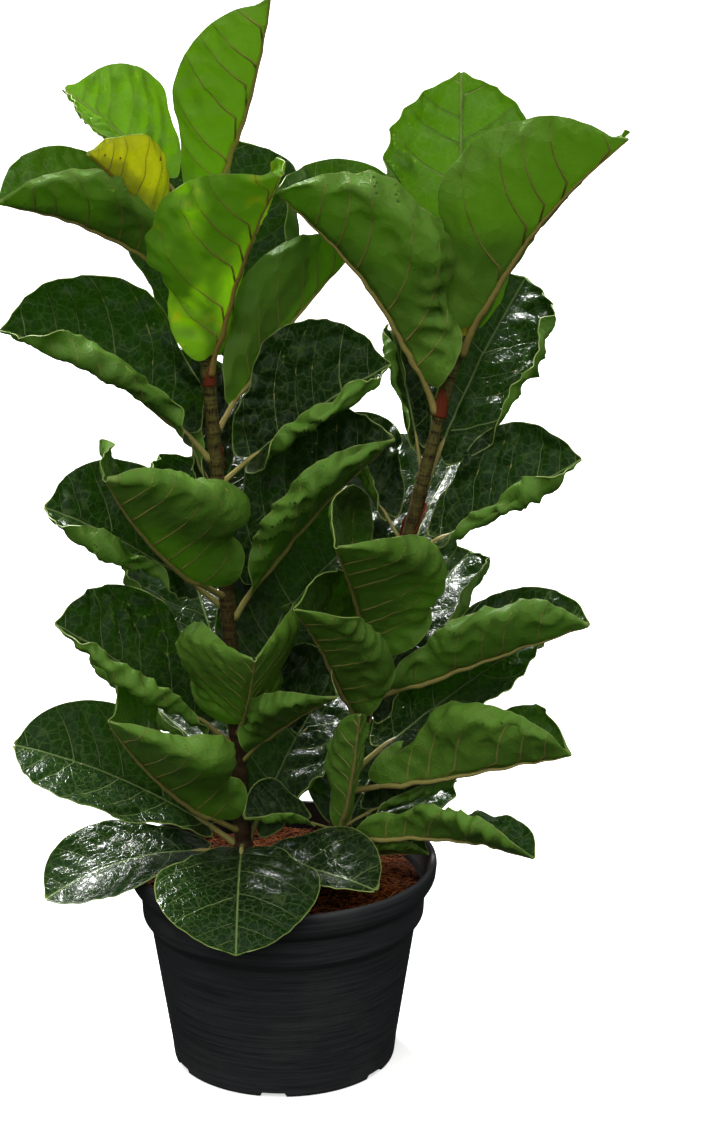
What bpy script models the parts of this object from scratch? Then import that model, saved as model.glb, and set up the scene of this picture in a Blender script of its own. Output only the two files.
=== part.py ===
"""A potted fiddle leaf fig: a black nursery pot, its potting mix, two stems, and each leaf as a solid.

Frame: metres, +Z up, -Y the front, +X to the right seen from the front.
The origin is the centre of the pot's flat base, on the surface that the pot stands on.
"""

import math
from collections import namedtuple

import bmesh
import bpy
import numpy as np

CM = 0.01
CLEARANCE = 0.0003  # gap that touching solids keep

# ---- Pot: a moulded nursery pot, drawn as one profile and turned ----
POT_HEIGHT = 0.185
LIP_RADIUS = 0.135
LIP_DEPTH = 0.022
NECK_RADIUS = 0.1235
NECK_DEPTH = 0.050
BODY_TOP_RADIUS = 0.1165
BODY_TOP_DEPTH = 0.059
BASE_RADIUS = 0.0985
WALL = 0.0018
FLOOR_THICKNESS = 0.0025
PAD_RADIUS = 0.066  # flat middle of the base, on which the pot stands
FOOT_WIDTH = 0.007
CHANNEL_HEIGHT = 0.006  # how far the ring between the pad and the foot is raised
POT_STEPS = 60
NOTCHES = 6
NOTCH_WIDTH = 0.022
NOTCH_HEIGHT = 0.0042
FIRST_NOTCH_DEG = 266
DRAIN_RADIUS = 0.0055
DRAIN_CIRCLE = 0.079
DRAIN_CUTTER_LENGTH = 0.012
ROUND_SIDES = 24  # sides of the round cutters
# The skins of the pot as (radius, height). The outer runs from the lip's top down to the middle of the
# base, and the inner from the middle of the floor up to the lip's top.
POT_OUTER = [
    (LIP_RADIUS - 0.0030, POT_HEIGHT),
    (LIP_RADIUS - 0.0008, POT_HEIGHT - 0.0016),
    (LIP_RADIUS, POT_HEIGHT - 0.0050),
    (LIP_RADIUS - 0.0012, POT_HEIGHT - LIP_DEPTH + 0.0060),
    (LIP_RADIUS - 0.0045, POT_HEIGHT - LIP_DEPTH),
    (NECK_RADIUS + 0.0012, POT_HEIGHT - LIP_DEPTH - 0.0060),
    (NECK_RADIUS, POT_HEIGHT - NECK_DEPTH),
    (BODY_TOP_RADIUS, POT_HEIGHT - BODY_TOP_DEPTH),
    (BASE_RADIUS + 0.0008, 0.0100),
    (BASE_RADIUS - 0.0006, 0.0025),
    (BASE_RADIUS - 0.0028, 0),
    (BASE_RADIUS - FOOT_WIDTH, 0),
    (BASE_RADIUS - FOOT_WIDTH - 0.0030, CHANNEL_HEIGHT),
    (PAD_RADIUS + 0.0040, CHANNEL_HEIGHT),
    (PAD_RADIUS, 0),
    (0, 0),
]
POT_INNER = [
    (0, FLOOR_THICKNESS),
    (PAD_RADIUS - 0.0010, FLOOR_THICKNESS),
    (PAD_RADIUS + 0.0030, CHANNEL_HEIGHT + FLOOR_THICKNESS),
    (BASE_RADIUS - WALL - 0.0020, CHANNEL_HEIGHT + FLOOR_THICKNESS),
    (BASE_RADIUS - WALL + 0.0006, CHANNEL_HEIGHT + FLOOR_THICKNESS + 0.0030),
    (BODY_TOP_RADIUS - WALL, POT_HEIGHT - BODY_TOP_DEPTH),
    (NECK_RADIUS - WALL, POT_HEIGHT - NECK_DEPTH),
    (NECK_RADIUS - WALL + 0.0024, POT_HEIGHT - LIP_DEPTH),
    (LIP_RADIUS - 0.0060, POT_HEIGHT - 0.0030),
    (LIP_RADIUS - 0.0048, POT_HEIGHT),
]

# ---- Potting mix ----
SOIL_BELOW_LIP = 0.022
SOIL_CROWN = 0.007
SOIL_STEPS = 40
SOCKET_PLAY = 0.0006  # room around a stem where it stands in the mix
SOCKET_LENGTH = 0.100  # longer than the depth that a stem reaches into the mix
SOIL_TOP = POT_HEIGHT - SOIL_BELOW_LIP
SOIL_FLOOR = CHANNEL_HEIGHT + FLOOR_THICKNESS + CLEARANCE
# The mix from the middle of its top, out and down inside the pot, to the middle of its base
SOIL_SKIN = [
    (0, SOIL_TOP + SOIL_CROWN),
    (0.040, SOIL_TOP + 0.9 * SOIL_CROWN),
    (0.080, SOIL_TOP + 0.5 * SOIL_CROWN),
    (0.112, SOIL_TOP - 0.0010),
    (NECK_RADIUS - WALL - 0.0012, SOIL_TOP - 0.0030),
    (NECK_RADIUS - WALL - 2 * CLEARANCE, POT_HEIGHT - NECK_DEPTH + 0.0010),
    (BODY_TOP_RADIUS - WALL - 2 * CLEARANCE, POT_HEIGHT - BODY_TOP_DEPTH + 0.0010),
    (BASE_RADIUS - WALL - 0.0002, SOIL_FLOOR + 0.0060),
    (BASE_RADIUS - WALL - 0.0035, SOIL_FLOOR),
    (PAD_RADIUS + 0.0020, SOIL_FLOOR),
    (PAD_RADIUS - 0.0020, FLOOR_THICKNESS + CLEARANCE),
    (0, FLOOR_THICKNESS + CLEARANCE),
]

# ---- Stems: centre lines through (x, y, z) in cm, and the radius at their foot and top in metres ----
Stem = namedtuple("Stem", "name line foot_radius top_radius")
LEFT = Stem(
    "stem_left",
    [(-3.3, 0.4, 10.5), (-3.6, 0.3, 22), (-4.5, 0, 40), (-5.8, -0.4, 60), (-7.2, -0.4, 76)],
    0.0075,
    0.0050,
)
RIGHT = Stem(
    "stem_right",
    [(3.0, 0.6, 10.5), (4.9, 0.4, 22), (8.3, 0, 37), (11.4, 0, 50), (15.2, 0.2, 65)],
    0.0075,
    0.0050,
)
STEM_SIDES = 12
STEM_POINTS = 28
BUD_LENGTH = 0.030
BUD_RADIUS = 0.0048
BUD_STEPS = 12
STEP = 0.002  # half the length over which a stem's direction is taken

# ---- Leaves ----
# A leaf grows from its stem at a height in cm. Azimuth 0 points right, 90 away, 180 left and 270 to the
# front. Pitch is how far its chord rises above the horizontal, droop how much it bends down from base to
# tip, and sweep how much it bends sideways. Length is blade and petiole, and width is across the flat
# blade, in cm. Roll turns the blade about its midrib, and twist adds to that towards the tip. Fold is the
# slope of each half beside the midrib, cup how much more it curls up by the margin, and curl the last turn
# of the margin itself, on the left and the right as one looks out along the leaf. Angles are in degrees.
Leaf = namedtuple(
    "Leaf",
    "name stem height azimuth pitch length width "
    "droop sweep roll twist fold cup left_curl right_curl petiole",
    defaults=(20, 0, 0, 0, 25, 20, 0, 0, 3.0),
)
STATIONS = (0.03, 0.10, 0.24, 0.40, 0.57, 0.73, 0.87, 0.96)  # along the blade, as a share of its length
ACROSS = (-1.0, -0.70, -0.36, 0.0, 0.36, 0.70, 1.0)  # from the right margin to the left
PATH_STEPS = 48
ARC_STEPS = 24
BLADE_THICKNESS = 0.0010
MIDRIB_DEPTH = 0.0028
PETIOLE_RADIUS = 0.0028
AURICLE = 0.016  # how far the two lobes at a leaf's base reach back
LEAVES = [
    # Crown of the left stem
    Leaf("leaf_left_01", LEFT, 74.5, 310, 62, 21, 12, droop=-25, fold=40, roll=15),
    Leaf("leaf_left_02", LEFT, 76, 165, 42, 13, 11, roll=-30, fold=30),
    Leaf("leaf_left_03", LEFT, 69, 210, 27, 19, 13, droop=30, fold=40, roll=-10),
    Leaf("leaf_left_04", LEFT, 70, 230, 45, 16, 8, roll=10, fold=60, petiole=4),
    Leaf("leaf_left_05", LEFT, 61, 80, 65, 21, 17.5, droop=-25, fold=0, cup=15, right_curl=100, roll=10),
    Leaf("leaf_left_06", LEFT, 62, 305, 60, 20, 17, fold=30, roll=10, petiole=2),
    Leaf("leaf_left_07", LEFT, 57, 30, 47, 18.5, 14, cup=15, roll=-40),
    Leaf("leaf_left_08", LEFT, 54.5, 195, 35, 21, 15, droop=35, fold=35, left_curl=95, roll=-40),
    Leaf("leaf_left_09", LEFT, 52.5, 0, 36, 17, 14.5, droop=15, fold=30, right_curl=95, roll=45),
    Leaf("leaf_left_10", LEFT, 49.5, 125, 50, 16, 11, droop=30, fold=25, roll=25),
    Leaf("leaf_left_11", LEFT, 42.5, 235, 42, 20, 21, droop=-25, twist=-10),
    Leaf("leaf_left_12", LEFT, 40.5, 350, 50, 21, 16, fold=35, roll=30, petiole=3.5),
    Leaf("leaf_left_13", LEFT, 41.5, 185, 32, 17, 14.5, fold=10, left_curl=100, roll=-30),
    Leaf("leaf_left_14", LEFT, 42, 105, 45, 14, 15, fold=0, roll=5),
    Leaf("leaf_left_15", LEFT, 29, 205, 40, 20, 13.5, droop=10, fold=15, left_curl=100, roll=-40),
    Leaf("leaf_left_16", LEFT, 30, 280, 43, 15, 20, droop=-20, fold=35, cup=25, roll=5),
    Leaf("leaf_left_17", LEFT, 27.5, 320, 38, 13, 12.5, fold=30, roll=25),
    Leaf("leaf_left_18", LEFT, 19.5, 180, 26, 21, 12.5, droop=25, fold=10, roll=-30),
    Leaf("leaf_left_19", LEFT, 21, 225, 44, 19.5, 19, droop=-25, roll=10, twist=-40),
    Leaf("leaf_left_20", LEFT, 18.5, 200, -5, 17.5, 10, droop=50, fold=0, roll=-15),
    Leaf("leaf_left_21", LEFT, 19.5, 270, -10, 17.5, 14, droop=60, fold=0),
    Leaf("leaf_left_22", LEFT, 18, 320, 5, 14, 9.5, fold=10, roll=15, petiole=1.5),
    Leaf("leaf_left_23", LEFT, 47, 90, 34, 20, 13.5, roll=10),
    Leaf("leaf_left_24", LEFT, 32.5, 45, 37, 21, 19, droop=45, fold=5, roll=35),
    Leaf("leaf_left_25", LEFT, 26.5, 130, 17, 21, 11.5, droop=-20, fold=20, roll=-5),
    Leaf("leaf_left_26", LEFT, 19.5, 50, 46, 19, 14, fold=5, roll=20, petiole=1.5),
    Leaf("leaf_left_27", LEFT, 33, 110, 35, 21, 17.5, droop=0, fold=10, roll=-5),
    # Crown of the right stem
    Leaf("leaf_right_01", RIGHT, 64.5, 90, 80, 21.5, 14, droop=-5, fold=5),
    Leaf("leaf_right_02", RIGHT, 63.5, 325, 52, 24, 18, droop=30, roll=-15),
    Leaf("leaf_right_03", RIGHT, 58.5, 190, 55, 23, 19, droop=35, fold=40),
    Leaf("leaf_right_04", RIGHT, 52, 45, 53, 20, 15.5, droop=15, fold=5, right_curl=70, roll=25),
    Leaf("leaf_right_05", RIGHT, 46, 345, 33, 17, 12.5, droop=0, fold=20, right_curl=95, roll=35),
    Leaf("leaf_right_06", RIGHT, 53, 115, 62, 12.5, 6.5, left_curl=110),
    Leaf("leaf_right_07", RIGHT, 47, 140, 45, 12.5, 10, droop=15, fold=30),
    Leaf("leaf_right_08", RIGHT, 33, 340, 25, 20.5, 12, droop=5, fold=35, cup=30, roll=-5),
    Leaf("leaf_right_09", RIGHT, 26.5, 10, 35, 20, 13.5, droop=10, fold=10, roll=20),
    Leaf("leaf_right_10", RIGHT, 36, 255, 50, 18.5, 20, fold=35, cup=10, right_curl=60, roll=-30),
    Leaf("leaf_right_11", RIGHT, 30.5, 245, 50, 18.5, 13.5, fold=35, left_curl=40, roll=-45),
    Leaf("leaf_right_12", RIGHT, 24.5, 335, 18, 21, 14, droop=0, fold=40, roll=-45, twist=40),
    Leaf("leaf_right_13", RIGHT, 19.5, 325, 10, 20, 9, droop=30, fold=20, roll=-45, twist=40),
    Leaf("leaf_right_14", RIGHT, 21, 15, 18, 10.5, 9, roll=20),
    Leaf("leaf_right_15", RIGHT, 20, 285, 62, 16, 6, droop=-20, fold=40),
    Leaf("leaf_right_16", RIGHT, 18, 345, 10, 8, 5),
    Leaf("leaf_right_17", RIGHT, 42, 65, 35, 17.5, 17.5, droop=25, fold=10),
    Leaf("leaf_right_18", RIGHT, 28.5, 50, 43, 21, 13, droop=40, fold=10, roll=10),
    Leaf("leaf_right_19", RIGHT, 18.5, 60, 35, 13, 17.5, fold=0, roll=30),
    Leaf("leaf_right_20", RIGHT, 21, 210, 18, 8.5, 7, roll=-25),
]


# ---- Shapes worked out by formula ----


def stem_point(stem, height):
    """Centre of a stem at a height in metres, from a curve through its line's points."""
    line = np.array(stem.line) * CM
    heights = line[:, 2]
    i = int(np.clip(np.searchsorted(heights, height) - 1, 0, len(line) - 2))
    share = (height - heights[i]) / (heights[i + 1] - heights[i])
    before = line[max(i - 1, 0)]
    after = line[min(i + 2, len(line) - 1)]
    near, far = line[i], line[i + 1]
    leave = (far - before) / (far[2] - before[2]) * (far[2] - near[2])
    arrive = (after - near) / (after[2] - near[2]) * (far[2] - near[2])
    a = 2 * share**3 - 3 * share**2 + 1
    b = share**3 - 2 * share**2 + share
    c = share**3 - share**2
    return a * near + b * leave + (1 - a) * far + c * arrive


def stem_direction(stem, height):
    ahead = stem_point(stem, height + STEP) - stem_point(stem, height - STEP)
    return ahead / np.linalg.norm(ahead)


def stem_radius(stem, height):
    foot, top = stem.line[0][2] * CM, stem.line[-1][2] * CM
    share = (height - foot) / (top - foot)
    return stem.foot_radius + (stem.top_radius - stem.foot_radius) * min(max(share, 0), 1)


def blade_half_width(t):
    """Half width of the blade as a share of its widest, from its base, t 0, to its tip, t 1: round at the
    tip, widest past the middle, and drawn in at a waist below that."""
    outline = t**0.62 * (1 - t) ** 0.52 / 0.453
    waist = 1 - 0.18 * math.exp(-(((t - 0.25) / 0.14) ** 2))
    return outline * waist


def smooth_step(x, low, high):
    share = np.clip((x - low) / (high - low), 0, 1)
    return share * share * (3 - 2 * share)


def half_section(fold, cup, curl):
    """A function of the share of a blade's half width: how far out and up it lies, and its slope there."""
    s = np.linspace(0, 1, ARC_STEPS + 1)
    mid = (s[1:] + s[:-1]) / 2
    slope = np.radians(fold + cup * mid + curl * smooth_step(mid, 0.55, 0.90))
    out = np.concatenate([[0], np.cumsum(np.cos(slope))]) / ARC_STEPS
    up = np.concatenate([[0], np.cumsum(np.sin(slope))]) / ARC_STEPS
    return lambda share: (np.interp(share, s, out), np.interp(share, s, up), np.interp(share, mid, slope))


def midrib(leaf):
    """Points, directions and azimuths along a leaf, from the skin of its stem to its tip."""
    u = np.linspace(0, 1, PATH_STEPS + 1)
    pitch = np.radians(leaf.pitch + leaf.droop * (0.5 - u))
    azimuth = np.radians(leaf.azimuth + leaf.sweep * (u - 0.5))
    along = np.stack([np.cos(azimuth) * np.cos(pitch), np.sin(azimuth) * np.cos(pitch), np.sin(pitch)], 1)
    outward = np.array([math.cos(azimuth[0]), math.sin(azimuth[0]), 0])
    height = leaf.height * CM
    lean = float(np.dot(outward, stem_direction(leaf.stem, height)))
    reach = (stem_radius(leaf.stem, height) + CLEARANCE) / math.sqrt(1 - lean**2)
    foot = stem_point(leaf.stem, height) + outward * reach
    steps = (along[1:] + along[:-1]) / 2 * (leaf.length * CM / PATH_STEPS)
    points = foot + np.concatenate([[np.zeros(3)], np.cumsum(steps, 0)])
    return u, points, along, azimuth


def at(u, us, values):
    return np.array([np.interp(u, us, values[:, k]) for k in range(3)])


def rolled_axes(side, up, degrees):
    roll = math.radians(degrees)
    return side * math.cos(roll) + up * math.sin(roll), up * math.cos(roll) - side * math.sin(roll)


def leaf_rings(leaf):
    """The closed cross-sections of a leaf: round at the petiole, then thin and wide along the blade."""
    us, points, along, azimuths = midrib(leaf)
    ring_size = 2 * len(ACROSS) - 2
    turn = np.pi - 2 * np.pi * np.arange(ring_size) / ring_size
    rings = []
    for u in (0, 0.5 * leaf.petiole / leaf.length):
        ahead = at(u, us, along)
        azimuth = np.interp(u, us, azimuths)
        side = np.array([-math.sin(azimuth), math.cos(azimuth), 0])
        if u == 0:
            up = stem_direction(leaf.stem, leaf.height * CM)
        else:
            side, up = rolled_axes(side, np.cross(ahead, side), leaf.roll)
        circle = np.outer(np.cos(turn), side) + np.outer(np.sin(turn), up)
        rings.append(at(u, us, points) + PETIOLE_RADIUS * circle)
    for t in STATIONS:
        u = (leaf.petiole + (leaf.length - leaf.petiole) * t) / leaf.length
        ahead = at(u, us, along)
        azimuth = np.interp(u, us, azimuths)
        side = np.array([-math.sin(azimuth), math.cos(azimuth), 0])
        side, up = rolled_axes(side, np.cross(ahead, side), leaf.roll + leaf.twist * t)
        half_width = blade_half_width(t) * leaf.width * CM / 2
        centre = at(u, us, points)
        opened = 0.55 + 0.45 * smooth_step(t, 0, 0.15)
        rolled = smooth_step(t, 0.08, 0.45) * (1 - smooth_step(t, 0.68, 0.98))
        left = half_section(leaf.fold * opened, leaf.cup * opened, leaf.left_curl * rolled)
        right = half_section(leaf.fold * opened, leaf.cup * opened, leaf.right_curl * rolled)
        top, under = [], []
        for s in ACROSS:
            out, rise, slope = (left if s > 0 else right)(abs(s))
            face = math.cos(slope) * up - math.copysign(math.sin(slope), s) * side
            back = AURICLE * math.exp(-t / 0.09) * abs(s) ** 1.5
            spot = centre + half_width * (math.copysign(out, s) * side + rise * up) - back * ahead
            thin = BLADE_THICKNESS / 2 * (0 if abs(s) == 1 else 1)
            if s == 0:
                face = up
            rib = MIDRIB_DEPTH * (1 - 0.75 * t) if s == 0 else 0
            top.append(spot + thin * face)
            under.append(spot - (thin + rib) * face)
        rings.append(np.array(top + under[-2:0:-1]))
    return rings, points[-1]


def mesh_of_rings(rings, tip):
    """(vertices, faces) of a loft through the rings, closed by the petiole's end and by the tip. The upper
    and lower faces are split along the same diagonals, so the thin blade never crosses itself."""
    size = len(rings[0])
    vertices = [tuple(map(float, p)) for ring in rings for p in ring] + [tuple(map(float, tip))]
    faces = [tuple(range(size))]
    for r in range(len(rings) - 1):
        for k in range(size):
            a, b = r * size + k, r * size + (k + 1) % size
            if k < size // 2:
                faces += [(a, a + size, b + size), (a, b + size, b)]
            else:
                faces += [(a, a + size, b), (b, a + size, b + size)]
    last = (len(rings) - 1) * size
    for k in range(size):
        faces.append((last + k, len(vertices) - 1, last + (k + 1) % size))
    return vertices, faces


# ---- Blender objects ----


def clear_scene():
    for obj in list(bpy.data.objects):
        bpy.data.objects.remove(obj, do_unlink=True)


def collection(name):
    made = bpy.data.collections.new(name)
    bpy.context.scene.collection.children.link(made)
    return made


def material(name, colour, roughness):
    made = bpy.data.materials.new(name)
    made.use_nodes = True
    shader = made.node_tree.nodes["Principled BSDF"]
    shader.inputs["Base Color"].default_value = (*colour, 1)
    shader.inputs["Roughness"].default_value = roughness
    shader.inputs["Metallic"].default_value = 0
    return made


def add_mesh(name, vertices, faces, home, finish):
    mesh = bpy.data.meshes.new(name)
    mesh.from_pydata(vertices, [], faces)
    mesh.materials.append(finish)
    obj = bpy.data.objects.new(name, mesh)
    home.objects.link(obj)
    return obj


def add_turned(name, profile, steps, home, finish):
    """A solid turned about Z from a profile that runs out, up, over and down its outer side."""
    edges = [(i, i + 1) for i in range(len(profile) - 1)]
    mesh = bpy.data.meshes.new(name)
    mesh.from_pydata([(x, 0, z) for x, z in profile], edges, [])
    mesh.materials.append(finish)
    obj = bpy.data.objects.new(name, mesh)
    home.objects.link(obj)
    screw = obj.modifiers.new("turn", "SCREW")
    screw.steps = screw.render_steps = steps
    screw.use_merge_vertices = True
    screw.merge_threshold = 0.0001
    screw.use_smooth_shade = True
    return obj


def rotation_along(direction):
    """Euler angles that turn the Z axis along a direction."""
    return (0, math.acos(direction[2]), math.atan2(direction[1], direction[0]))


def into(home, obj, name):
    """Give an object its name and put it in one collection alone."""
    obj.name = name
    for other in list(obj.users_collection):
        other.objects.unlink(obj)
    home.objects.link(obj)
    return obj


def cut(obj, cutter):
    """Take a cutter's shape out of an object, and keep the cutter itself out of the object's look."""
    cutter.hide_render = True
    cutter.display_type = "WIRE"
    boolean = obj.modifiers.new("cut_" + cutter.name, "BOOLEAN")
    boolean.operation = "DIFFERENCE"
    boolean.solver = "EXACT"
    boolean.object = cutter


def build_pot(parts, cutters, finish):
    pot = add_turned("pot", POT_INNER + POT_OUTER, POT_STEPS, parts, finish)
    for i in range(NOTCHES):
        angle = math.radians(FIRST_NOTCH_DEG + 360 / NOTCHES * i)
        reach = BASE_RADIUS - FOOT_WIDTH / 2
        place = (reach * math.cos(angle), reach * math.sin(angle), 0)
        bpy.ops.mesh.primitive_cube_add(size=1, location=place)
        notch = into(cutters, bpy.context.object, f"notch_cutter_{i + 1}")
        notch.scale = (3 * FOOT_WIDTH, NOTCH_WIDTH, 2 * NOTCH_HEIGHT)
        notch.rotation_euler = (0, 0, angle)
        cut(pot, notch)
        angle += math.pi / NOTCHES
        bpy.ops.mesh.primitive_cylinder_add(
            vertices=ROUND_SIDES,
            radius=DRAIN_RADIUS,
            depth=DRAIN_CUTTER_LENGTH,
            location=(DRAIN_CIRCLE * math.cos(angle), DRAIN_CIRCLE * math.sin(angle), CHANNEL_HEIGHT),
        )
        cut(pot, into(cutters, bpy.context.object, f"drain_cutter_{i + 1}"))


def build_soil(parts, cutters, finish):
    soil = add_turned("potting_mix", SOIL_SKIN, SOIL_STEPS, parts, finish)
    for stem in (LEFT, RIGHT):
        foot = np.array(stem.line[0]) * CM
        lean = stem_point(stem, foot[2] + SOCKET_LENGTH) - foot
        lean /= np.linalg.norm(lean)
        bpy.ops.mesh.primitive_cylinder_add(
            vertices=ROUND_SIDES,
            radius=stem.foot_radius + SOCKET_PLAY,
            depth=SOCKET_LENGTH,
            location=foot + lean * (SOCKET_LENGTH / 2 - CLEARANCE),
            rotation=rotation_along(lean),
        )
        cut(soil, into(cutters, bpy.context.object, "socket_cutter_" + stem.name))


def build_stem(stem, parts, finish):
    curve = bpy.data.curves.new(stem.name, "CURVE")
    curve.dimensions = "3D"
    curve.bevel_depth = 1
    curve.bevel_resolution = (STEM_SIDES - 4) // 2
    curve.render_resolution_u = 0
    curve.use_fill_caps = True
    curve.materials.append(finish)
    spline = curve.splines.new("POLY")
    spline.points.add(STEM_POINTS - 1)
    heights = np.linspace(stem.line[0][2] * CM, stem.line[-1][2] * CM, STEM_POINTS)
    for point, height in zip(spline.points, heights):
        point.co = (*stem_point(stem, height), 1)
        point.radius = stem_radius(stem, height)
    parts.objects.link(bpy.data.objects.new(stem.name, curve))


def build_bud(stem, parts, finish):
    """The pointed sheath that closes a stem's growing tip, turned from a profile and stood on the stem."""
    top = stem.line[-1][2] * CM
    profile = [
        (0, BUD_LENGTH),
        (0.22 * BUD_RADIUS, 0.86 * BUD_LENGTH),
        (0.62 * BUD_RADIUS, 0.60 * BUD_LENGTH),
        (BUD_RADIUS, 0.22 * BUD_LENGTH),
        (0.88 * BUD_RADIUS, 0),
        (0, 0),
    ]
    bud = add_turned(stem.name.replace("stem", "bud"), profile, BUD_STEPS, parts, finish)
    lean = stem_direction(stem, top - STEP)
    bud.location = stem_point(stem, top) + lean * CLEARANCE
    bud.rotation_euler = rotation_along(lean)


def build_leaf(leaf, parts, finish):
    obj = add_mesh(leaf.name, *mesh_of_rings(*leaf_rings(leaf)), parts, finish)
    shell = bmesh.new()
    shell.from_mesh(obj.data)
    bmesh.ops.recalc_face_normals(shell, faces=shell.faces)
    shell.to_mesh(obj.data)
    shell.free()
    obj.data.shade_smooth()


def main():
    clear_scene()
    parts = collection("potted_fiddle_leaf_fig")
    cutters = collection("cutters")
    plastic = material("black_plastic", (0.020, 0.020, 0.021), 0.45)
    coir = material("coir_potting_mix", (0.060, 0.024, 0.010), 0.95)
    bark = material("brown_bark", (0.13, 0.075, 0.030), 0.70)
    sheath = material("bud_sheath", (0.42, 0.44, 0.06), 0.45)
    blade = material("mature_leaf", (0.030, 0.11, 0.018), 0.30)
    build_pot(parts, cutters, plastic)
    build_soil(parts, cutters, coir)
    for stem in (LEFT, RIGHT):
        build_stem(stem, parts, bark)
        build_bud(stem, parts, sheath)
    for leaf in LEAVES:
        build_leaf(leaf, parts, blade)


if __name__ == "__main__":
    main()
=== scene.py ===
"""A potted fiddle leaf fig: the finish of its pot, potting mix, stems, buds and leaves.

Laid out as a Blender add-on and run as a script. Metres, +Z up, -Y the front.
"""

import math
from collections import namedtuple

import bpy
import numpy as np
from bpy.props import FloatProperty, FloatVectorProperty, IntProperty, PointerProperty
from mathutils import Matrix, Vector


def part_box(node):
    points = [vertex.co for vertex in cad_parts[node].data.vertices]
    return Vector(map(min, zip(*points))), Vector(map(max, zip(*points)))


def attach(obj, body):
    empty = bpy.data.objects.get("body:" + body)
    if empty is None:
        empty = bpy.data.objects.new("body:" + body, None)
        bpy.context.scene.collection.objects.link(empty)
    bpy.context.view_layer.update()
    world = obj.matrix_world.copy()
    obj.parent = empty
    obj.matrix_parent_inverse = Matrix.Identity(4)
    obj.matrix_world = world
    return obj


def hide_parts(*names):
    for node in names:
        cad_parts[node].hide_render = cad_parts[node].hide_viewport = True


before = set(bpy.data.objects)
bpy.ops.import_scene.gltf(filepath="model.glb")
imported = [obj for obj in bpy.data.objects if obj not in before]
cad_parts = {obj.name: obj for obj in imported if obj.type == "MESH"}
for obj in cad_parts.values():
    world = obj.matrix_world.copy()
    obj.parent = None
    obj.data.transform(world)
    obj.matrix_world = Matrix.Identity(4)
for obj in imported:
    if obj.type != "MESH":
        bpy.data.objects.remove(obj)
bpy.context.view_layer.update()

bl_info = {
    "name": "Potted fiddle leaf fig",
    "version": (1, 0, 0),
    "blender": (4, 5, 0),
    "location": "3D View > Sidebar > Fig",
    "description": "Builds the pot, potting mix, stems, buds and leaves of a fiddle leaf fig",
    "category": "Add Mesh",
}

CM = 0.01
MM = 0.001


def linear(colour):
    """An sRGB colour as #rrggbb in Blender's linear values."""
    parts = [int(colour[i : i + 2], 16) / 255 for i in (1, 3, 5)]
    return tuple(c / 12.92 if c <= 0.04045 else ((c + 0.055) / 1.055) ** 2.4 for c in parts)


# ---- The plant's own measures, the same as its solids have ----

CLEARANCE = 0.0003
Stem = namedtuple("Stem", "name line foot_radius top_radius")
LEFT = Stem(
    "stem_left",
    [(-3.3, 0.4, 10.5), (-3.6, 0.3, 22), (-4.5, 0, 40), (-5.8, -0.4, 60), (-7.2, -0.4, 76)],
    0.0075,
    0.0050,
)
RIGHT = Stem(
    "stem_right",
    [(3.0, 0.6, 10.5), (4.9, 0.4, 22), (8.3, 0, 37), (11.4, 0, 50), (15.2, 0.2, 65)],
    0.0075,
    0.0050,
)

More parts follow.
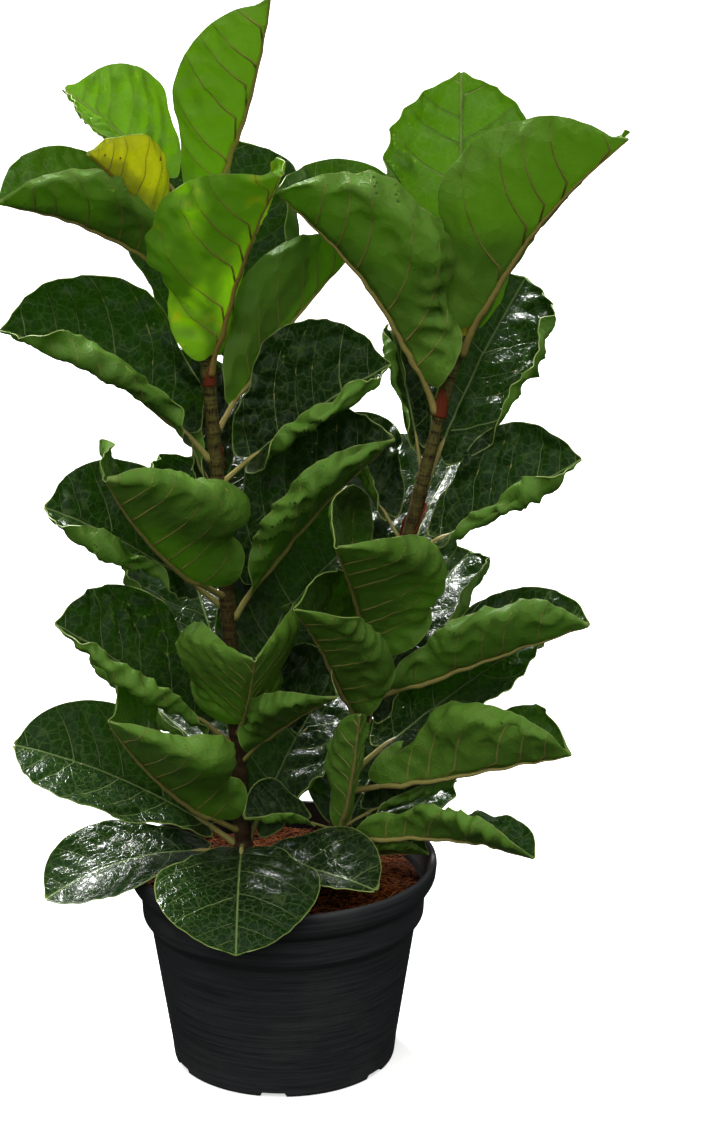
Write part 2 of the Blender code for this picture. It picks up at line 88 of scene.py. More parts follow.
# A leaf grows from its stem at a height in cm. Azimuth 0 points right, 90 away, 180 left and 270 to the
# front.
# Pitch is how far its chord rises above the horizontal, droop how much it bends down from base to tip, and
# sweep how much it bends sideways. Length is blade and petiole, and width is across the flat blade, in cm.
# Roll turns the blade about its midrib; twist adds to that towards the tip. Fold is the slope of each half
# beside the midrib, cup how much more it curls up by the margin, and curl the last turn of the margin itself,
# on the left and the right as one looks out along the leaf. All angles are in degrees.
Leaf = namedtuple(
    "Leaf",
    "name stem height azimuth pitch length width droop sweep roll twist fold cup left_curl right_curl"
    " petiole",
    defaults=(20, 0, 0, 0, 25, 20, 0, 0, 3.0),
)
STEP = 0.002
PATH_STEPS = 48
AURICLE = 0.016
LEAVES = [
    # Crown of the left stem
    Leaf("leaf_left_01", LEFT, 74.5, 310, 62, 21, 12, droop=-25, fold=40, roll=15),
    Leaf("leaf_left_02", LEFT, 76, 165, 42, 13, 11, roll=-30, fold=30),
    Leaf("leaf_left_03", LEFT, 69, 210, 27, 19, 13, droop=30, fold=40, roll=-10),
    Leaf("leaf_left_04", LEFT, 70, 230, 45, 16, 8, roll=10, fold=60, petiole=4),
    Leaf("leaf_left_05", LEFT, 61, 80, 65, 21, 17.5, droop=-25, fold=0, cup=15, right_curl=100, roll=10),
    Leaf("leaf_left_06", LEFT, 62, 305, 60, 20, 17, fold=30, roll=10, petiole=2),
    Leaf("leaf_left_07", LEFT, 57, 30, 47, 18.5, 14, cup=15, roll=-40),
    Leaf("leaf_left_08", LEFT, 54.5, 195, 35, 21, 15, droop=35, fold=35, left_curl=95, roll=-40),
    Leaf("leaf_left_09", LEFT, 52.5, 0, 36, 17, 14.5, droop=15, fold=30, right_curl=95, roll=45),
    Leaf("leaf_left_10", LEFT, 49.5, 125, 50, 16, 11, droop=30, fold=25, roll=25),
    Leaf("leaf_left_11", LEFT, 42.5, 235, 42, 20, 21, droop=-25, twist=-10),
    Leaf("leaf_left_12", LEFT, 40.5, 350, 50, 21, 16, fold=35, roll=30, petiole=3.5),
    Leaf("leaf_left_13", LEFT, 41.5, 185, 32, 17, 14.5, fold=10, left_curl=100, roll=-30),
    Leaf("leaf_left_14", LEFT, 42, 105, 45, 14, 15, fold=0, roll=5),
    Leaf("leaf_left_15", LEFT, 29, 205, 40, 20, 13.5, droop=10, fold=15, left_curl=100, roll=-40),
    Leaf("leaf_left_16", LEFT, 30, 280, 43, 15, 20, droop=-20, fold=35, cup=25, roll=5),
    Leaf("leaf_left_17", LEFT, 27.5, 320, 38, 13, 12.5, fold=30, roll=25),
    Leaf("leaf_left_18", LEFT, 19.5, 180, 26, 21, 12.5, droop=25, fold=10, roll=-30),
    Leaf("leaf_left_19", LEFT, 21, 225, 44, 19.5, 19, droop=-25, roll=10, twist=-40),
    Leaf("leaf_left_20", LEFT, 18.5, 200, -5, 17.5, 10, droop=50, fold=0, roll=-15),
    Leaf("leaf_left_21", LEFT, 19.5, 270, -10, 17.5, 14, droop=60, fold=0),
    Leaf("leaf_left_22", LEFT, 18, 320, 5, 14, 9.5, fold=10, roll=15, petiole=1.5),
    Leaf("leaf_left_23", LEFT, 47, 90, 34, 20, 13.5, roll=10),
    Leaf("leaf_left_24", LEFT, 32.5, 45, 37, 21, 19, droop=45, fold=5, roll=35),
    Leaf("leaf_left_25", LEFT, 26.5, 130, 17, 21, 11.5, droop=-20, fold=20, roll=-5),
    Leaf("leaf_left_26", LEFT, 19.5, 50, 46, 19, 14, fold=5, roll=20, petiole=1.5),
    Leaf("leaf_left_27", LEFT, 33, 110, 35, 21, 17.5, droop=0, fold=10, roll=-5),
    # Crown of the right stem
    Leaf("leaf_right_01", RIGHT, 64.5, 90, 80, 21.5, 14, droop=-5, fold=5),
    Leaf("leaf_right_02", RIGHT, 63.5, 325, 52, 24, 18, droop=30, roll=-15),
    Leaf("leaf_right_03", RIGHT, 58.5, 190, 55, 23, 19, droop=35, fold=40),
    Leaf("leaf_right_04", RIGHT, 52, 45, 53, 20, 15.5, droop=15, fold=5, right_curl=70, roll=25),
    Leaf("leaf_right_05", RIGHT, 46, 345, 33, 17, 12.5, droop=0, fold=20, right_curl=95, roll=35),
    Leaf("leaf_right_06", RIGHT, 53, 115, 62, 12.5, 6.5, left_curl=110),
    Leaf("leaf_right_07", RIGHT, 47, 140, 45, 12.5, 10, droop=15, fold=30),
    Leaf("leaf_right_08", RIGHT, 33, 340, 25, 20.5, 12, droop=5, fold=35, cup=30, roll=-5),
    Leaf("leaf_right_09", RIGHT, 26.5, 10, 35, 20, 13.5, droop=10, fold=10, roll=20),
    Leaf("leaf_right_10", RIGHT, 36, 255, 50, 18.5, 20, fold=35, cup=10, right_curl=60, roll=-30),
    Leaf("leaf_right_11", RIGHT, 30.5, 245, 50, 18.5, 13.5, fold=35, left_curl=40, roll=-45),
    Leaf("leaf_right_12", RIGHT, 24.5, 335, 18, 21, 14, droop=0, fold=40, roll=-45, twist=40),
    Leaf("leaf_right_13", RIGHT, 19.5, 325, 10, 20, 9, droop=30, fold=20, roll=-45, twist=40),
    Leaf("leaf_right_14", RIGHT, 21, 15, 18, 10.5, 9, roll=20),
    Leaf("leaf_right_15", RIGHT, 20, 285, 62, 16, 6, droop=-20, fold=40),
    Leaf("leaf_right_16", RIGHT, 18, 345, 10, 8, 5),
    Leaf("leaf_right_17", RIGHT, 42, 65, 35, 17.5, 17.5, droop=25, fold=10),
    Leaf("leaf_right_18", RIGHT, 28.5, 50, 43, 21, 13, droop=40, fold=10, roll=10),
    Leaf("leaf_right_19", RIGHT, 18.5, 60, 35, 13, 17.5, fold=0, roll=30),
    Leaf("leaf_right_20", RIGHT, 21, 210, 18, 8.5, 7, roll=-25),
]

# How each leaf's surface differs: age 0 is a hard old leaf and 1 a soft new one, pucker is how high the blade
# swells between its veins, wave how far its margin swings and dome the height of its smaller swellings, all
# in mm. Rim is how far the margin rolls in, in degrees, point how far the tip stands out in mm. Fade is 1 for
# a leaf that has turned yellow.
Look = namedtuple("Look", "age pucker wave dome rim point fade", defaults=(0.0, 2.4, 3.0, 3.0, 85, 2.0, 0.0))
USUAL = Look()
LOOKS = {
    "leaf_left_01": Look(0.60, 1.8, 2.0, 2.4, 10, 6),
    "leaf_left_02": Look(0.75, 3.5, 5.0, 3.0, 20, 5),
    "leaf_left_03": Look(0.25, 2.0, 2.4, 2.2, 80),
    "leaf_left_04": Look(1.00, 2.2, 2.5, 2.4, 25, 6, 1.0),
    "leaf_left_05": Look(0.00, 1.8, 2.0, 1.4, 20),
    "leaf_left_06": Look(0.95, 1.6, 2.6, 2.2, 35, 8, 0.12),
    "leaf_left_07": Look(0.25, 1.8, 2.5, 1.8, 50),
    "leaf_left_11": Look(0.15, 1.3, 4.5, 1.4, 110),
    "leaf_left_08": Look(0.00, 2.4, 3.0, 3.4, 45),
    "leaf_left_09": Look(0.00, 2.4, 3.0, 3.6, 45),
    "leaf_left_12": Look(0.00, 3.2, 3.0, 3.6, 90),
    "leaf_left_13": Look(0.00, 2.8, 3.4, 3.6, 40),
    "leaf_left_15": Look(0.00, 2.8, 3.6, 3.6, 40),
    "leaf_left_16": Look(0.15, 1.4, 5.5, 1.6, 110),
    "leaf_left_18": Look(0.00, 1.6, 1.6, 1.0, 0),
    "leaf_left_19": Look(0.15, 1.3, 4.5, 1.6, 110),
    "leaf_left_20": Look(0.00, 1.6, 1.4, 0.9, 0),
    "leaf_left_21": Look(0.00, 1.4, 1.2, 0.7, -8, 0),
    "leaf_left_22": Look(0.00, 1.6, 1.6, 1.0, 0),
    "leaf_right_01": Look(0.50, 3.0, 3.0, 3.4, 10, 4),
    "leaf_right_02": Look(0.45, 1.8, 3.0, 1.8, 45, 7),
    "leaf_right_03": Look(0.25, 2.6, 2.6, 3.0, 80),
    "leaf_right_04": Look(0.00, 3.2, 3.2, 4.2, 20),
    "leaf_right_05": Look(0.00, 2.6, 3.0, 3.6, 45),
    "leaf_right_09": Look(0.00, 2.0, 2.4, 1.6, 0),
    "leaf_right_10": Look(0.15, 1.4, 3.5, 1.8, 100),
    "leaf_right_11": Look(0.10, 1.8, 3.0, 2.4, 60),
    "leaf_right_12": Look(0.10, 1.8, 3.4, 2.6, 80),
}


# ---- Shapes worked out by formula ----


def smooth_step(x, low, high):
    share = np.clip((x - low) / (high - low), 0, 1)
    return share * share * (3 - 2 * share)


def stem_point(stem, height):
    """Centre of a stem at a height in metres, from a curve through its line's points."""
    line = np.array(stem.line) * CM
    heights = line[:, 2]
    i = int(np.clip(np.searchsorted(heights, height) - 1, 0, len(line) - 2))
    share = (height - heights[i]) / (heights[i + 1] - heights[i])
    before = line[max(i - 1, 0)]
    after = line[min(i + 2, len(line) - 1)]
    near, far = line[i], line[i + 1]
    leave = (far - before) / (far[2] - before[2]) * (far[2] - near[2])
    arrive = (after - near) / (after[2] - near[2]) * (far[2] - near[2])
    a = 2 * share**3 - 3 * share**2 + 1
    b = share**3 - 2 * share**2 + share
    c = share**3 - share**2
    return a * near + b * leave + (1 - a) * far + c * arrive


def stem_direction(stem, height):
    ahead = stem_point(stem, height + STEP) - stem_point(stem, height - STEP)
    return ahead / np.linalg.norm(ahead)


def stem_radius(stem, height):
    foot, top = stem.line[0][2] * CM, stem.line[-1][2] * CM
    share = (height - foot) / (top - foot)
    return stem.foot_radius + (stem.top_radius - stem.foot_radius) * min(max(share, 0), 1)


def leaf_path(leaf):
    """Shares, points, directions and azimuths along a leaf, from the skin of its stem to its tip."""
    u = np.linspace(0, 1, PATH_STEPS + 1)
    pitch = np.radians(leaf.pitch + leaf.droop * (0.5 - u))
    azimuth = np.radians(leaf.azimuth + leaf.sweep * (u - 0.5))
    along = np.stack([np.cos(azimuth) * np.cos(pitch), np.sin(azimuth) * np.cos(pitch), np.sin(pitch)], 1)
    outward = np.array([math.cos(azimuth[0]), math.sin(azimuth[0]), 0])
    height = leaf.height * CM
    lean = float(np.dot(outward, stem_direction(leaf.stem, height)))
    reach = (stem_radius(leaf.stem, height) + CLEARANCE) / math.sqrt(1 - lean**2)
    foot = stem_point(leaf.stem, height) + outward * reach
    steps = (along[1:] + along[:-1]) / 2 * (leaf.length * CM / PATH_STEPS)
    points = foot + np.concatenate([[np.zeros(3)], np.cumsum(steps, 0)])
    return u, points, along, azimuth


def path_at(u, path):
    """Point, direction, side and up at shares of a leaf's path."""
    us, points, along, azimuths = path
    point = np.stack([np.interp(u, us, points[:, k]) for k in range(3)], -1)
    ahead = np.stack([np.interp(u, us, along[:, k]) for k in range(3)], -1)
    azimuth = np.interp(u, us, azimuths)
    side = np.stack([-np.sin(azimuth), np.cos(azimuth), np.zeros_like(azimuth)], -1)
    return point, ahead, side, np.cross(ahead, side)


def unit(vectors):
    return vectors / np.maximum(np.linalg.norm(vectors, axis=-1, keepdims=True), 1e-12)


# A blade's middle surface on a grid: t runs from its base to its tip and s from the right margin to the left.
# across and along are its flat measures, phase counts the side veins, and margin is how far its edge is.
Blade = namedtuple("Blade", "t s across along phase margin middle normal")


def section(slopes, columns):
    """How far out and up each column of half a blade lies, for the slopes of its fine steps row by row."""
    steps = slopes.shape[1]
    start = np.zeros((len(slopes), 1))
    out = np.concatenate([start, np.cumsum(np.cos(slopes), 1)], 1) / steps
    rise = np.concatenate([start, np.cumsum(np.sin(slopes), 1)], 1) / steps
    below = np.minimum((columns * steps).astype(int), steps - 1)
    share = columns * steps - below
    return [a[:, below] * (1 - share) + a[:, below + 1] * share for a in (out, rise)]


def lumps(x, y, luck, low, high, count):
    """An even random relief of height about 1: waves in random directions, with lengths from low to high."""
    total = np.zeros(np.broadcast(x, y).shape)
    for length in np.geomspace(low, high, count):
        angle, start = luck.uniform(0, 2 * np.pi, 2)
        total += np.sin(2 * np.pi * (x * np.cos(angle) + y * np.sin(angle)) / length + start) * length
    return total / math.sqrt(0.5 * (np.geomspace(low, high, count) ** 2).sum())


def grid_normal(points):
    return unit(np.cross(np.gradient(points, axis=0), np.gradient(points, axis=1)))


def blade_surface(leaf, look, settings, seed):
    luck = np.random.default_rng(seed)
    rows, columns = settings.rows, settings.columns
    t = (1 - np.cos(np.linspace(0.02, np.pi - 0.02, rows + 1))) / 2
    half = 1 - (1 - np.linspace(0, 1, columns + 1)) ** 1.25
    s = np.concatenate([-half[::-1], half[1:]])
    path = leaf_path(leaf)
    blade_length = (leaf.length - leaf.petiole) * CM
    centre, ahead, side, up = path_at((leaf.petiole + (leaf.length - leaf.petiole) * t) / leaf.length, path)
    roll = np.radians(leaf.roll + leaf.twist * t)[:, None]
    side, up = side * np.cos(roll) + up * np.sin(roll), up * np.cos(roll) - side * np.sin(roll)
    outline = t**0.62 * (1 - t) ** 0.52 / 0.453
    half_width = outline * (1 - 0.18 * np.exp(-(((t - 0.25) / 0.14) ** 2))) * leaf.width * CM / 2

    mid = (np.arange(SECTION_STEPS) + 0.5) / SECTION_STEPS
    opened = (0.55 + 0.45 * smooth_step(t, 0, 0.15))[:, None]
    rolled = (smooth_step(t, 0.08, 0.45) * (1 - smooth_step(t, 0.68, 0.98)))[:, None]
    rimmed = (smooth_step(t, 0.04, 0.30) * (1 - 0.5 * smooth_step(t, 0.80, 1)))[:, None]
    out, rise = [], []
    for sign, curl in ((-1, leaf.right_curl), (1, leaf.left_curl)):
        slopes = (leaf.fold + leaf.cup * mid) * opened + curl * rolled * smooth_step(mid, 0.55, 0.90)
        # The half that hangs to the front rolls in the most
        front = np.clip(0.5 - 0.8 * sign * side[:, 1:2], 0.1, 1)
        slopes = slopes + look.rim * front * rimmed * smooth_step(mid, 0.60, 0.96)
        o, r = section(np.radians(slopes), half)
        out.append(o)
        rise.append(r)
    out = np.concatenate([-out[0][:, ::-1], out[1][:, 1:]], 1)
    rise = np.concatenate([rise[0][:, ::-1], rise[1][:, 1:]], 1)

    lobe = AURICLE * np.exp(-t / 0.09) * (1 - np.exp(-t / 0.008))
    back = lobe[:, None] * np.abs(s) ** 1.5
    across = half_width[:, None] * s
    point = look.point * MM * np.exp(-((across / 0.007) ** 2)) * smooth_step(t, 0.90, 1)[:, None]
    along = blade_length * t[:, None] - back + point
    middle = centre[:, None] + half_width[:, None, None] * (
        out[..., None] * side[:, None] + rise[..., None] * up[:, None]
    )
    middle = middle + (point - back)[..., None] * ahead[:, None]

    # Side veins leave the midrib at a slant, bend towards the tip and never lie quite evenly
    reach = np.abs(across) / (leaf.width * CM / 2)
    swept = leaf.width * CM / 2 * (0.45 * reach + 0.42 * reach**2.6)
    start = luck.uniform(0, 2 * np.pi, 2)
    phase = (along - swept) / blade_length * settings.side_veins + np.where(s < 0, 0.35, 0.80)
    phase = phase + 0.22 * np.sin(1.9 * phase + np.where(s < 0, *start))
    margin = np.minimum((1 - np.abs(s)) * half_width[:, None], blade_length * (1 - t)[:, None])

    edge = np.abs(s)
    broad = smooth_step(half_width, 0.004, 0.045)[:, None]
    tips = smooth_step(t, 0, 0.12)[:, None]
    swell = np.sin(np.pi * phase) ** 2 - 0.5
    height = look.pucker * MM * swell * smooth_step(edge, 0.03, 0.40) * (1 - 0.4 * smooth_step(edge, 0.85, 1))
    height = height + look.wave * MM * edge**2.5 * lumps(along, 0.6 * across, luck, 0.045, 0.11, 9)
    domes = np.abs(lumps(across, along, luck, 0.022, 0.042, 14)) - 0.7
    height = height + look.dome * MM * (0.3 + 0.7 * smooth_step(edge, 0.15, 0.8)) * domes
    slow = lumps(across, along, luck, 0.08, 0.18, 6)
    height = (height * broad + 2.0 * MM * slow * edge) * tips
    height = height - settings.groove * np.exp(-((across / 0.005) ** 2)) * tips
    middle = middle + height[..., None] * grid_normal(middle)
    return Blade(t, s, across, along, phase, margin, middle, grid_normal(middle))


def on_blade(blade, t, s):
    """Points and normals of a blade at any t and s."""
    row = np.interp(t, blade.t, np.arange(len(blade.t)))
    column = np.interp(s, blade.s, np.arange(len(blade.s)))
    i = np.minimum(row.astype(int), len(blade.t) - 2)
    j = np.minimum(column.astype(int), len(blade.s) - 2)
    v, w = (row - i)[:, None], (column - j)[:, None]
    found = []
    for field in (blade.middle, blade.normal):
        near = field[i, j] * (1 - w) + field[i, j + 1] * w
        far = field[i + 1, j] * (1 - w) + field[i + 1, j + 1] * w
        found.append(near * (1 - v) + far * v)
    return found[0], unit(found[1])


# ---- Meshes ----


class Shape:
    """A mesh in the making: points, faces with their material slots, and two flat maps."""

    def __init__(self):
        self.points, self.faces, self.slots, self.flat, self.veins = [], [], [], [], []
        self.count = 0

    def add(self, points, faces, slot, flat=None, veins=None):
        points = np.asarray(points, float).reshape(-1, 3)
        blank = np.zeros((len(points), 2))
        self.faces += [tuple(int(i) + self.count for i in face) for face in faces]
        self.slots += [slot] * len(faces) if isinstance(slot, int) else list(slot)
        self.points.append(points)
        self.flat.append(blank if flat is None else flat)
        self.veins.append(blank if veins is None else veins)
        self.count += len(points)

    def build(self, name, materials):
        mesh = bpy.data.meshes.new(name)
        mesh.from_pydata(np.concatenate(self.points).tolist(), [], self.faces)
        for material in materials:
            mesh.materials.append(material)
        mesh.polygons.foreach_set("material_index", self.slots)
        mesh.polygons.foreach_set("use_smooth", [True] * len(mesh.polygons))
        corners = np.empty(len(mesh.loops), int)
        mesh.loops.foreach_get("vertex_index", corners)
        for title, values in (("flat", self.flat), ("veins", self.veins)):
            layer = mesh.uv_layers.new(name=title)
            layer.data.foreach_set("uv", np.concatenate(values)[corners].ravel())
        obj = bpy.data.objects.new(name, mesh)
        bpy.context.scene.collection.objects.link(obj)
        return obj


def grid_faces(rows, columns, start=0, wrap=False):
    """Quads over a grid of points, facing the side from which rows run up and columns to the left."""
    i, j = np.meshgrid(np.arange(rows - 1), np.arange(columns if wrap else columns - 1), indexing="ij")
    i, j = i.ravel(), j.ravel()
    k = (j + 1) % columns
    corners = [i * columns + j, (i + 1) * columns + j, (i + 1) * columns + k, i * columns + k]
    return np.stack(corners, 1) + start


def add_tube(shape, path, radii, sides, slot, above, flatten=1.0):
    """A round bar along a path. above points away from its flattened side."""
    ahead = unit(np.gradient(path, axis=0))
    beside = unit(np.cross(ahead, above))
    upward = np.cross(beside, ahead)
    turn = 2 * np.pi * np.arange(sides) / sides
    ring = np.cos(turn)[None, :, None] * beside[:, None]
    ring = ring + flatten * np.sin(turn)[None, :, None] * upward[:, None]
    points = path[:, None] + radii[:, None, None] * ring
    faces = [tuple(f) for f in grid_faces(len(path), sides, wrap=True)]
    faces.append(tuple(range(sides)))
    faces.append(tuple(range(len(path) * sides - 1, (len(path) - 1) * sides - 1, -1)))
    run = np.concatenate([[0], np.cumsum(np.linalg.norm(np.diff(path, axis=0), axis=1))])
    round_it = np.broadcast_to(turn * radii[:, None], (len(path), sides))
    flat = np.stack([round_it, np.repeat(run[:, None], sides, 1)], -1)
    shape.add(points, faces, slot, flat.reshape(-1, 2))


def set_sharp(mesh, loops):
    """Mark as sharp the edges that run along the given loops of points."""
    which = np.zeros(len(mesh.vertices), int)
    for number, loop in enumerate(loops, 1):
        which[loop] = number
    ends = np.empty(len(mesh.edges) * 2, int)
    mesh.edges.foreach_get("vertices", ends)
    a, b = which[ends[::2]], which[ends[1::2]]
    flag = mesh.attributes.new("sharp_edge", "BOOLEAN", "EDGE")
    flag.data.foreach_set("value", (a == b) & (a > 0))


SECTION_STEPS = 40
MIDRIB_SIDES = 10
VEIN_SIDES = 5
VEIN_POINTS = 14
MIDRIB_POINTS = 46
UPPER, UNDER, EDGE, RIB, PETIOLE = range(5)


def add_sheet(shape, middle, normal, thickness, slots, flat=None, veins=None):
    """A closed thin sheet: upper face, underside and the edge between them. Returns its two edge loops."""
    rows, columns = middle.shape[:2]
    lift = normal * thickness / 2
    points = np.concatenate([(middle + lift).reshape(-1, 3), (middle - lift).reshape(-1, 3)])
    size = rows * columns
    upper = grid_faces(rows, columns)
    under = upper[:, ::-1] + size
    number = np.arange(size).reshape(rows, columns)
    loop = np.concatenate([number[0, :-1], number[:-1, -1], number[-1, :0:-1], number[:0:-1, 0]])
    follow = np.roll(loop, -1)
    rim = np.stack([loop, follow, follow + size, loop + size], 1)
    faces = [tuple(f) for f in np.concatenate([upper, under, rim])]
    face_slots = [slots[0]] * len(upper) + [slots[1]] * len(under) + [slots[2]] * len(rim)
    start = shape.count
    shape.add(
        points,
        faces,
        face_slots,
        None if flat is None else np.tile(flat, (2, 1)),
        None if veins is None else np.tile(veins, (2, 1)),
    )
    return [loop + start, loop + size + start]


def add_blade(shape, blade, thickness, shift):
    """The blade's sheet. Its flat map is shifted along, so that no two leaves wear the same mottling."""
    flat = np.stack([blade.across, blade.along + shift], -1).reshape(-1, 2)
    veins = np.stack([blade.phase, blade.margin], -1).reshape(-1, 2)
    return add_sheet(shape, blade.middle, blade.normal, thickness, (UPPER, UNDER, EDGE), flat, veins)


def add_ribs(shape, leaf, blade, settings):
    """The petiole and midrib as one tapering bar, and a slim bar under each side vein."""
    path = leaf_path(leaf)
    share = leaf.petiole / leaf.length
    scale = leaf.length / 18
    u = np.linspace(-0.012, share, 9)
    point, ahead, side, up = path_at(np.maximum(u, 0), path)
    point = point + np.minimum(u, 0)[:, None] * leaf.length * CM * ahead
    t = np.linspace(blade.t[0], 0.985, MIDRIB_POINTS)
    middle, normal = on_blade(blade, t, np.zeros_like(t))
    blade_radii = settings.midrib_radius * scale * (1 - 0.80 * t) * (1 - 0.5 * smooth_step(t, 0.9, 1))
    sunk = smooth_step(t, 0, 0.10)[:, None]
    middle = middle - normal * (blade_radii[:, None] * sunk * 0.94)
    up[-1] = normal[0]
    spread = 1 + 0.45 * np.exp(-np.maximum(u, 0) * leaf.length * CM / 0.005)
    radii = settings.midrib_radius * scale * np.minimum(spread, 1.45)
    line = np.concatenate([point[:-1], middle])
    above = np.concatenate([up[:-1], normal])
    radii = np.concatenate([radii[:-1], blade_radii])
    add_tube(shape, line, radii, MIDRIB_SIDES, PETIOLE, above)
    for sign in (-1, 1):
        columns = np.flatnonzero(blade.s * sign >= 0)
        columns = columns[np.argsort(np.abs(blade.s[columns]))]
        for number in range(1, int(blade.phase.max()) + 1):
            ts = []
            for column in columns:
                phases = blade.phase[:, column]
                first = int(np.argmin(phases))
                ts.append(np.interp(number, phases[first:], blade.t[first:], left=-1, right=2))
            ts = np.array(ts)
            if not 0.01 < ts[0] < 0.93:
                continue
            inside = (ts > 0.01) & (ts < 0.97) & (np.abs(blade.s[columns]) < 0.93)
            count = len(ts) if inside.all() else int(np.argmin(inside))
            if count < 6:
                continue
            pick = np.linspace(0, count - 1, VEIN_POINTS)
            t = np.interp(pick, np.arange(count), ts[:count])
            s = np.interp(pick, np.arange(count), blade.s[columns[:count]])
            middle, normal = on_blade(blade, t, s)
            radii = settings.vein_radius * scale * np.linspace(1, 0.32, VEIN_POINTS)
            add_tube(shape, middle - normal * (0.55 * radii)[:, None], radii, VEIN_SIDES, RIB, normal, 0.6)


# ---- Materials ----


def add(tree, kind, inputs=(), **settings):
    """Add one node, with its own settings and with a value or a link for each input named."""
    node = tree.nodes.new(kind)
    for name, value in settings.items():
        setattr(node, name, value)
    for socket, value in dict(inputs).items():
        if isinstance(value, bpy.types.NodeSocket):
            tree.links.new(value, node.inputs[socket])
        else:
            node.inputs[socket].default_value = value
    return node


def new_material(name):
    material = bpy.data.materials.new(name)
    material.use_nodes = True
    tree = material.node_tree
    tree.nodes.clear()
    return material, tree


def rgba(colour):
    return (*colour, 1)


def finish_with(tree, shader):
    add(tree, "ShaderNodeOutputMaterial", {"Surface": shader})
# Brown freckles on a fading leaf, and the spacing of the pale marks where drops dried on a hard one
FRECKLE = 5 * MM
WATER_MARK_PITCH = 13 * MM


def mixed(tree, share, first, second):
    """The colour between two others, by a share."""
    return add(tree, "ShaderNodeMix", {0: share, 6: first, 7: second}, data_type="RGBA").outputs[2]


def leaf_pattern(tree, settings):
    """Masks over a blade, from its flat maps: all veins, the fine net, the pale margin and slow mottling."""
    flat = add(tree, "ShaderNodeUVMap", uv_map="flat").outputs[0]
    veins = add(tree, "ShaderNodeUVMap", uv_map="veins").outputs[0]
    place = add(tree, "ShaderNodeSeparateXYZ", {0: flat})
    count = add(tree, "ShaderNodeSeparateXYZ", {0: veins})
    off_midrib = add(tree, "ShaderNodeMath", {0: place.outputs[0]}, operation="ABSOLUTE").outputs[0]
    midrib = add(
        tree,
        "ShaderNodeMapRange",
        {"Value": off_midrib, "From Min": 0.5 * MM, "From Max": 1.3 * MM, "To Min": 1.0, "To Max": 0.0},
        interpolation_type="SMOOTHSTEP",
    ).outputs[0]
    wander = add(tree, "ShaderNodeTexNoise", {"Vector": flat, "Scale": 60.0, "Detail": 1.0}).outputs[0]
    wander = add(tree, "ShaderNodeMath", {0: wander, 1: -0.5}, operation="ADD").outputs[0]
    bent = add(
        tree, "ShaderNodeMath", {0: wander, 1: 0.05, 2: count.outputs[0]}, operation="MULTIPLY_ADD"
    ).outputs[0]
    off_vein = add(tree, "ShaderNodeMath", {0: bent, 1: 0.5}, operation="PINGPONG").outputs[0]
    thin = add(
        tree,
        "ShaderNodeMapRange",
        {"Value": off_midrib, "From Min": 0.0, "From Max": 0.07, "To Min": 0.028, "To Max": 0.012},
    ).outputs[0]
    side = add(
        tree,
        "ShaderNodeMapRange",
        {"Value": off_vein, "From Min": 0.004, "From Max": thin, "To Min": 1.0, "To Max": 0.0},
        interpolation_type="SMOOTHSTEP",
    ).outputs[0]
    real = add(tree, "ShaderNodeMath", {0: bent, 1: 0.5}, operation="GREATER_THAN").outputs[0]
    side = add(tree, "ShaderNodeMath", {0: side, 1: real}, operation="MULTIPLY").outputs[0]
    main = add(tree, "ShaderNodeMath", {0: midrib, 1: side}, operation="MAXIMUM").outputs[0]
    nets = []
    for size, width in ((settings.net_size, 0.035), (settings.net_size * 0.36, 0.05)):
        cells = add(
            tree, "ShaderNodeTexVoronoi", {"Vector": flat, "Scale": 1 / size, "Randomness": 0.9},
            feature="DISTANCE_TO_EDGE",
        ).outputs["Distance"]
        nets.append(
            add(
                tree,
                "ShaderNodeMapRange",
                {"Value": cells, "From Min": 0.0, "From Max": 2.4 * width, "To Min": 1.0, "To Max": 0.0},
                interpolation_type="SMOOTHSTEP",
            ).outputs[0]
        )
    net = add(tree, "ShaderNodeMath", {0: nets[1], 1: 0.45, 2: nets[0]}, operation="MULTIPLY_ADD").outputs[0]
    margin = add(
        tree,
        "ShaderNodeMapRange",
        {"Value": count.outputs[1], "From Min": 0.3 * MM, "From Max": 1.1 * MM, "To Min": 1.0, "To Max": 0.0},
        interpolation_type="SMOOTHSTEP",
    ).outputs[0]
    mottle = add(tree, "ShaderNodeTexNoise", {"Vector": flat, "Scale": 45.0, "Detail": 4.0, "Roughness": 0.6})
    return flat, main, net, margin, mottle.outputs[0]


Tint = namedtuple("Tint", "face vein through fade")


